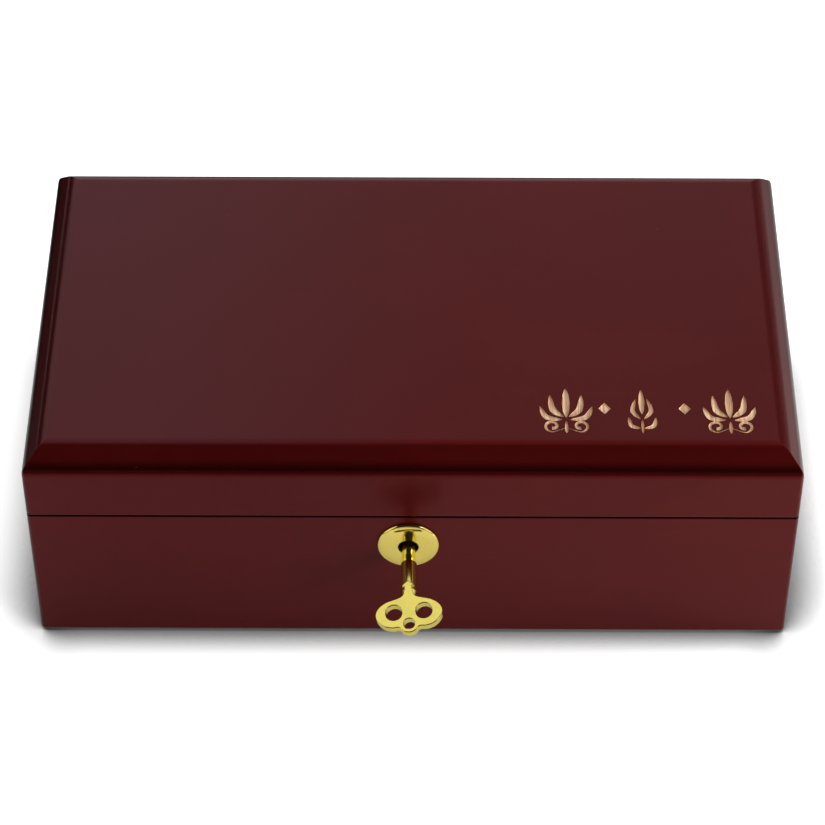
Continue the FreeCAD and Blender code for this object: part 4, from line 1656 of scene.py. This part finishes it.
@dataclass
class Studio:
    """The pale floor, the lamps, the room's light and the camera at the photograph's angle.

    The three values of the painted contact shadow's reach and tone hold beyond the box's left end,
    in front of it and beyond its right end.
    """

    camera_place: Point3 = (0.00379, -0.75601, 0.81763)
    pitch: float = 46.018
    yaw: float = -0.319
    roll: float = -0.032
    focal_px: float = 3093.4
    image_px: float = 825.0
    sensor_mm: float = 36.0
    clip_end: float = 20.0
    floor_half: float = 3.0
    floor_tone: float = 0.8
    floor_fleck: float = 0.01
    flecks: float = 500.0
    floor_glow: float = 0.85
    painted_shadow_reach: Point3 = (0.028, 0.0175, 0.034)
    painted_shadow_tone: Point3 = (0.05, 0.3, 0.01)
    painted_shadow_fade: Point2 = (0.4, 0.99)
    side_start: Point2 = (0.11, 0.135)
    mirrored_glow: float = 0.1
    left_glow: float = 0.15
    right_glow: float = 0.25
    right_start: Point2 = (0.13, 0.3)
    dark_front: Point2 = (-0.4, -0.2)
    dark_left: Point2 = (-0.5, -0.36)
    dark_lean: float = -1.5
    dark_tone: float = 0.02
    dim_back: Point2 = (0.1, 0.3)
    back_level: float = 0.5
    room_light: float = 0.8
    lamps: tuple[Lamp, ...] = (
        Lamp("right_front", (0.75, -0.75, 0.3), (0.4, 0.4), 9.5),
        Lamp("right_side", (1.0, 0.05, 0.6), (0.4, 0.4), 4.6),
        Lamp("glint", (0.62, -0.5, 0.62), (0.12, 0.12), 0.35, mirrored=True),
    )
    cards: tuple[Card, ...] = (
        Card("back_left_card", (-0.95, 0.8, 0.36), (1.3, 0.5)),
        Card("camera_card", (0.0, -1.7, 1.0), (3.4, 2.0)),
        Card("canopy_card", (0.0, -0.6, 1.9), (3.0, 1.5)),
        Card("back_right_card", (0.95, 0.8, 0.58), (1.3, 1.0), tone=0.28, foot_tone=0.5),
    )

    def camera(self) -> None:
        """Sets up the camera."""
        data = bpy.data.cameras.new("camera")
        data.sensor_fit = "HORIZONTAL"
        data.sensor_width = self.sensor_mm
        data.lens = self.focal_px * self.sensor_mm / self.image_px
        data.clip_end = self.clip_end
        yaw, pitch, roll = (math.radians(angle) for angle in (self.yaw, self.pitch, self.roll))
        level = math.cos(pitch)
        ahead = Vector((math.sin(yaw) * level, math.cos(yaw) * level, -math.sin(pitch)))
        across = Vector((math.cos(yaw), -math.sin(yaw), 0.0))
        up = across.cross(ahead)
        right = across * math.cos(roll) + up * math.sin(roll)
        rise = up * math.cos(roll) - across * math.sin(roll)
        turn = Matrix((right, rise, -ahead)).transposed().to_4x4()
        camera = bpy.data.objects.new("camera", data)
        camera.matrix_world = Matrix.Translation(self.camera_place) @ turn
        bpy.context.scene.collection.objects.link(camera)
        bpy.context.scene.camera = camera

    def by_side(self, wiring: Wiring, across: Socket, values: Point3) -> Socket:
        """Wires a value that changes past the box's ends.

        Args:
            wiring: The floor's wiring.
            across: The place's X.
            values: The value at the left, in front and at the right.

        Returns:
            The value.
        """
        left, front, right = values
        start, end = self.side_start
        at_left = wiring.span(across, -end, -start, left, front)
        at_right = wiring.span(across, start, end, 0.0, right - front)
        return wiring.sum("ADD", at_left, at_right)

    def lit_part(self, wiring: Wiring, across: Socket, back: Socket) -> Socket:
        """Wires the part of the floor that the polish sees lit; the rest is dark to it.

        Args:
            wiring: The floor's wiring.
            across: The place's X.
            back: The place's Y.

        Returns:
            The mask: 0 far in front and far to the left, and weaker behind the box.
        """
        slanted = wiring.sum("MULTIPLY_ADD", back, self.dark_lean, across)
        lit = wiring.sum("MULTIPLY", wiring.span(back, *self.dark_front),
                         wiring.span(slanted, *self.dark_left))
        return wiring.sum("MULTIPLY", lit,
                          wiring.span(back, *self.dim_back, 1.0, self.back_level))

    def mirrored_light(self, wiring: Wiring, across: Socket) -> Socket:
        """Wires the glow that the polish sees in the floor, stronger beside the box.

        Args:
            wiring: The floor's wiring.
            across: The place's X.

        Returns:
            The glow.
        """
        right = wiring.span(across, *self.right_start, self.mirrored_glow,
                            self.mirrored_glow + self.right_glow)
        left = wiring.span(across, -self.right_start[0], -self.side_start[1], 0.0,
                           self.left_glow)
        return wiring.sum("ADD", right, left)

    def floor(self) -> None:
        """Lays the floor: pale, with a painted soft contact shadow under the box and a white of its
        own beyond it.
        """
        material, wiring, shader, place = start_material("pale_floor")
        across, back, _ = wiring.split(place)
        # How near the box is, which sets the painted contact shadow.
        near = wiring.add("ShaderNodeAmbientOcclusion", samples=16)
        wiring.put(near.inputs["Distance"], self.by_side(wiring, across, self.painted_shadow_reach))
        clear = wiring.span(near.outputs["AO"], *self.painted_shadow_fade)
        path = wiring.add("ShaderNodeLightPath").outputs
        by_eye, by_polish = path["Is Camera Ray"], path["Is Glossy Ray"]
        lit = self.lit_part(wiring, across, back)
        low, high = ((self.floor_tone + part,) * 3
                     for part in (-self.floor_fleck, self.floor_fleck))
        pale = wiring.mix(wiring.noise(place, self.flecks), low, high)
        dim = wiring.sum("MULTIPLY", by_polish, wiring.rest(lit))
        pale = wiring.mix(dim, pale, (self.dark_tone,) * 3)
        # Painted shadow: for the camera, the floor's colour darkens towards the box.
        under = wiring.sum("MULTIPLY", by_eye, wiring.rest(wiring.sum("POWER", clear, 2.0)))
        deep = self.by_side(wiring, across, self.painted_shadow_tone)
        wiring.put(shader.inputs["Base Color"], wiring.mix(under, pale, deep))
        shader.inputs["Roughness"].default_value = 0.9
        shader.inputs["Specular IOR Level"].default_value = 0.0
        seen = wiring.sum("MAXIMUM", by_eye, path["Is Transmission Ray"])
        glow = wiring.sum("MULTIPLY", lit, self.mirrored_light(wiring, across))
        seen = wiring.sum("MAXIMUM", seen, wiring.sum("MULTIPLY", by_polish, glow))
        # Painted shadow: the floor's own white is dimmed near the box too.
        clear_glow = wiring.sum("MULTIPLY", clear, self.floor_glow)
        shader.inputs["Emission Color"].default_value = (1.0, 1.0, 1.0, 1.0)
        wiring.put(shader.inputs["Emission Strength"], wiring.sum("MULTIPLY", seen, clear_glow))
        panel("floor", (self.floor_half, self.floor_half), material)

    def room(self) -> None:
        """Sets the room's light, and the white that the camera and the polish see in it."""
        world = bpy.data.worlds.new("room")
        bpy.context.scene.world = world
        world.use_nodes = True
        wiring = Wiring(world.node_tree)
        background = world.node_tree.nodes["Background"]
        background.inputs["Color"].default_value = (1.0, 1.0, 1.0, 1.0)
        path = wiring.add("ShaderNodeLightPath").outputs
        seen = wiring.sum("MAXIMUM", path["Is Camera Ray"], path["Is Transmission Ray"])
        seen = wiring.sum("MAXIMUM", seen, path["Is Glossy Ray"])
        level = wiring.sum("MULTIPLY_ADD", seen, 1.0 - self.room_light, self.room_light)
        wiring.put(background.inputs["Strength"], level)

    def build(self) -> None:
        """Builds the studio."""
        self.camera()
        self.floor()
        self.room()
        for fitting in (*self.lamps, *self.cards):
            fitting.build()
        LOG.info("studio set up")


def main() -> None:
    """Builds the studio and every sub-assembly in turn."""
    logging.basicConfig(level=logging.INFO, format="%(name)s: %(message)s")
    bpy.context.scene.view_settings.view_transform = "Standard"
    for assembly in (Studio(), Carcass(), Lid(), Lining(), Hinges(), Lock(), KeyholePlate(), Key()):
        LOG.info("building %s", type(assembly).__name__)
        assembly.build()


if __name__ == "__main__":
    main()
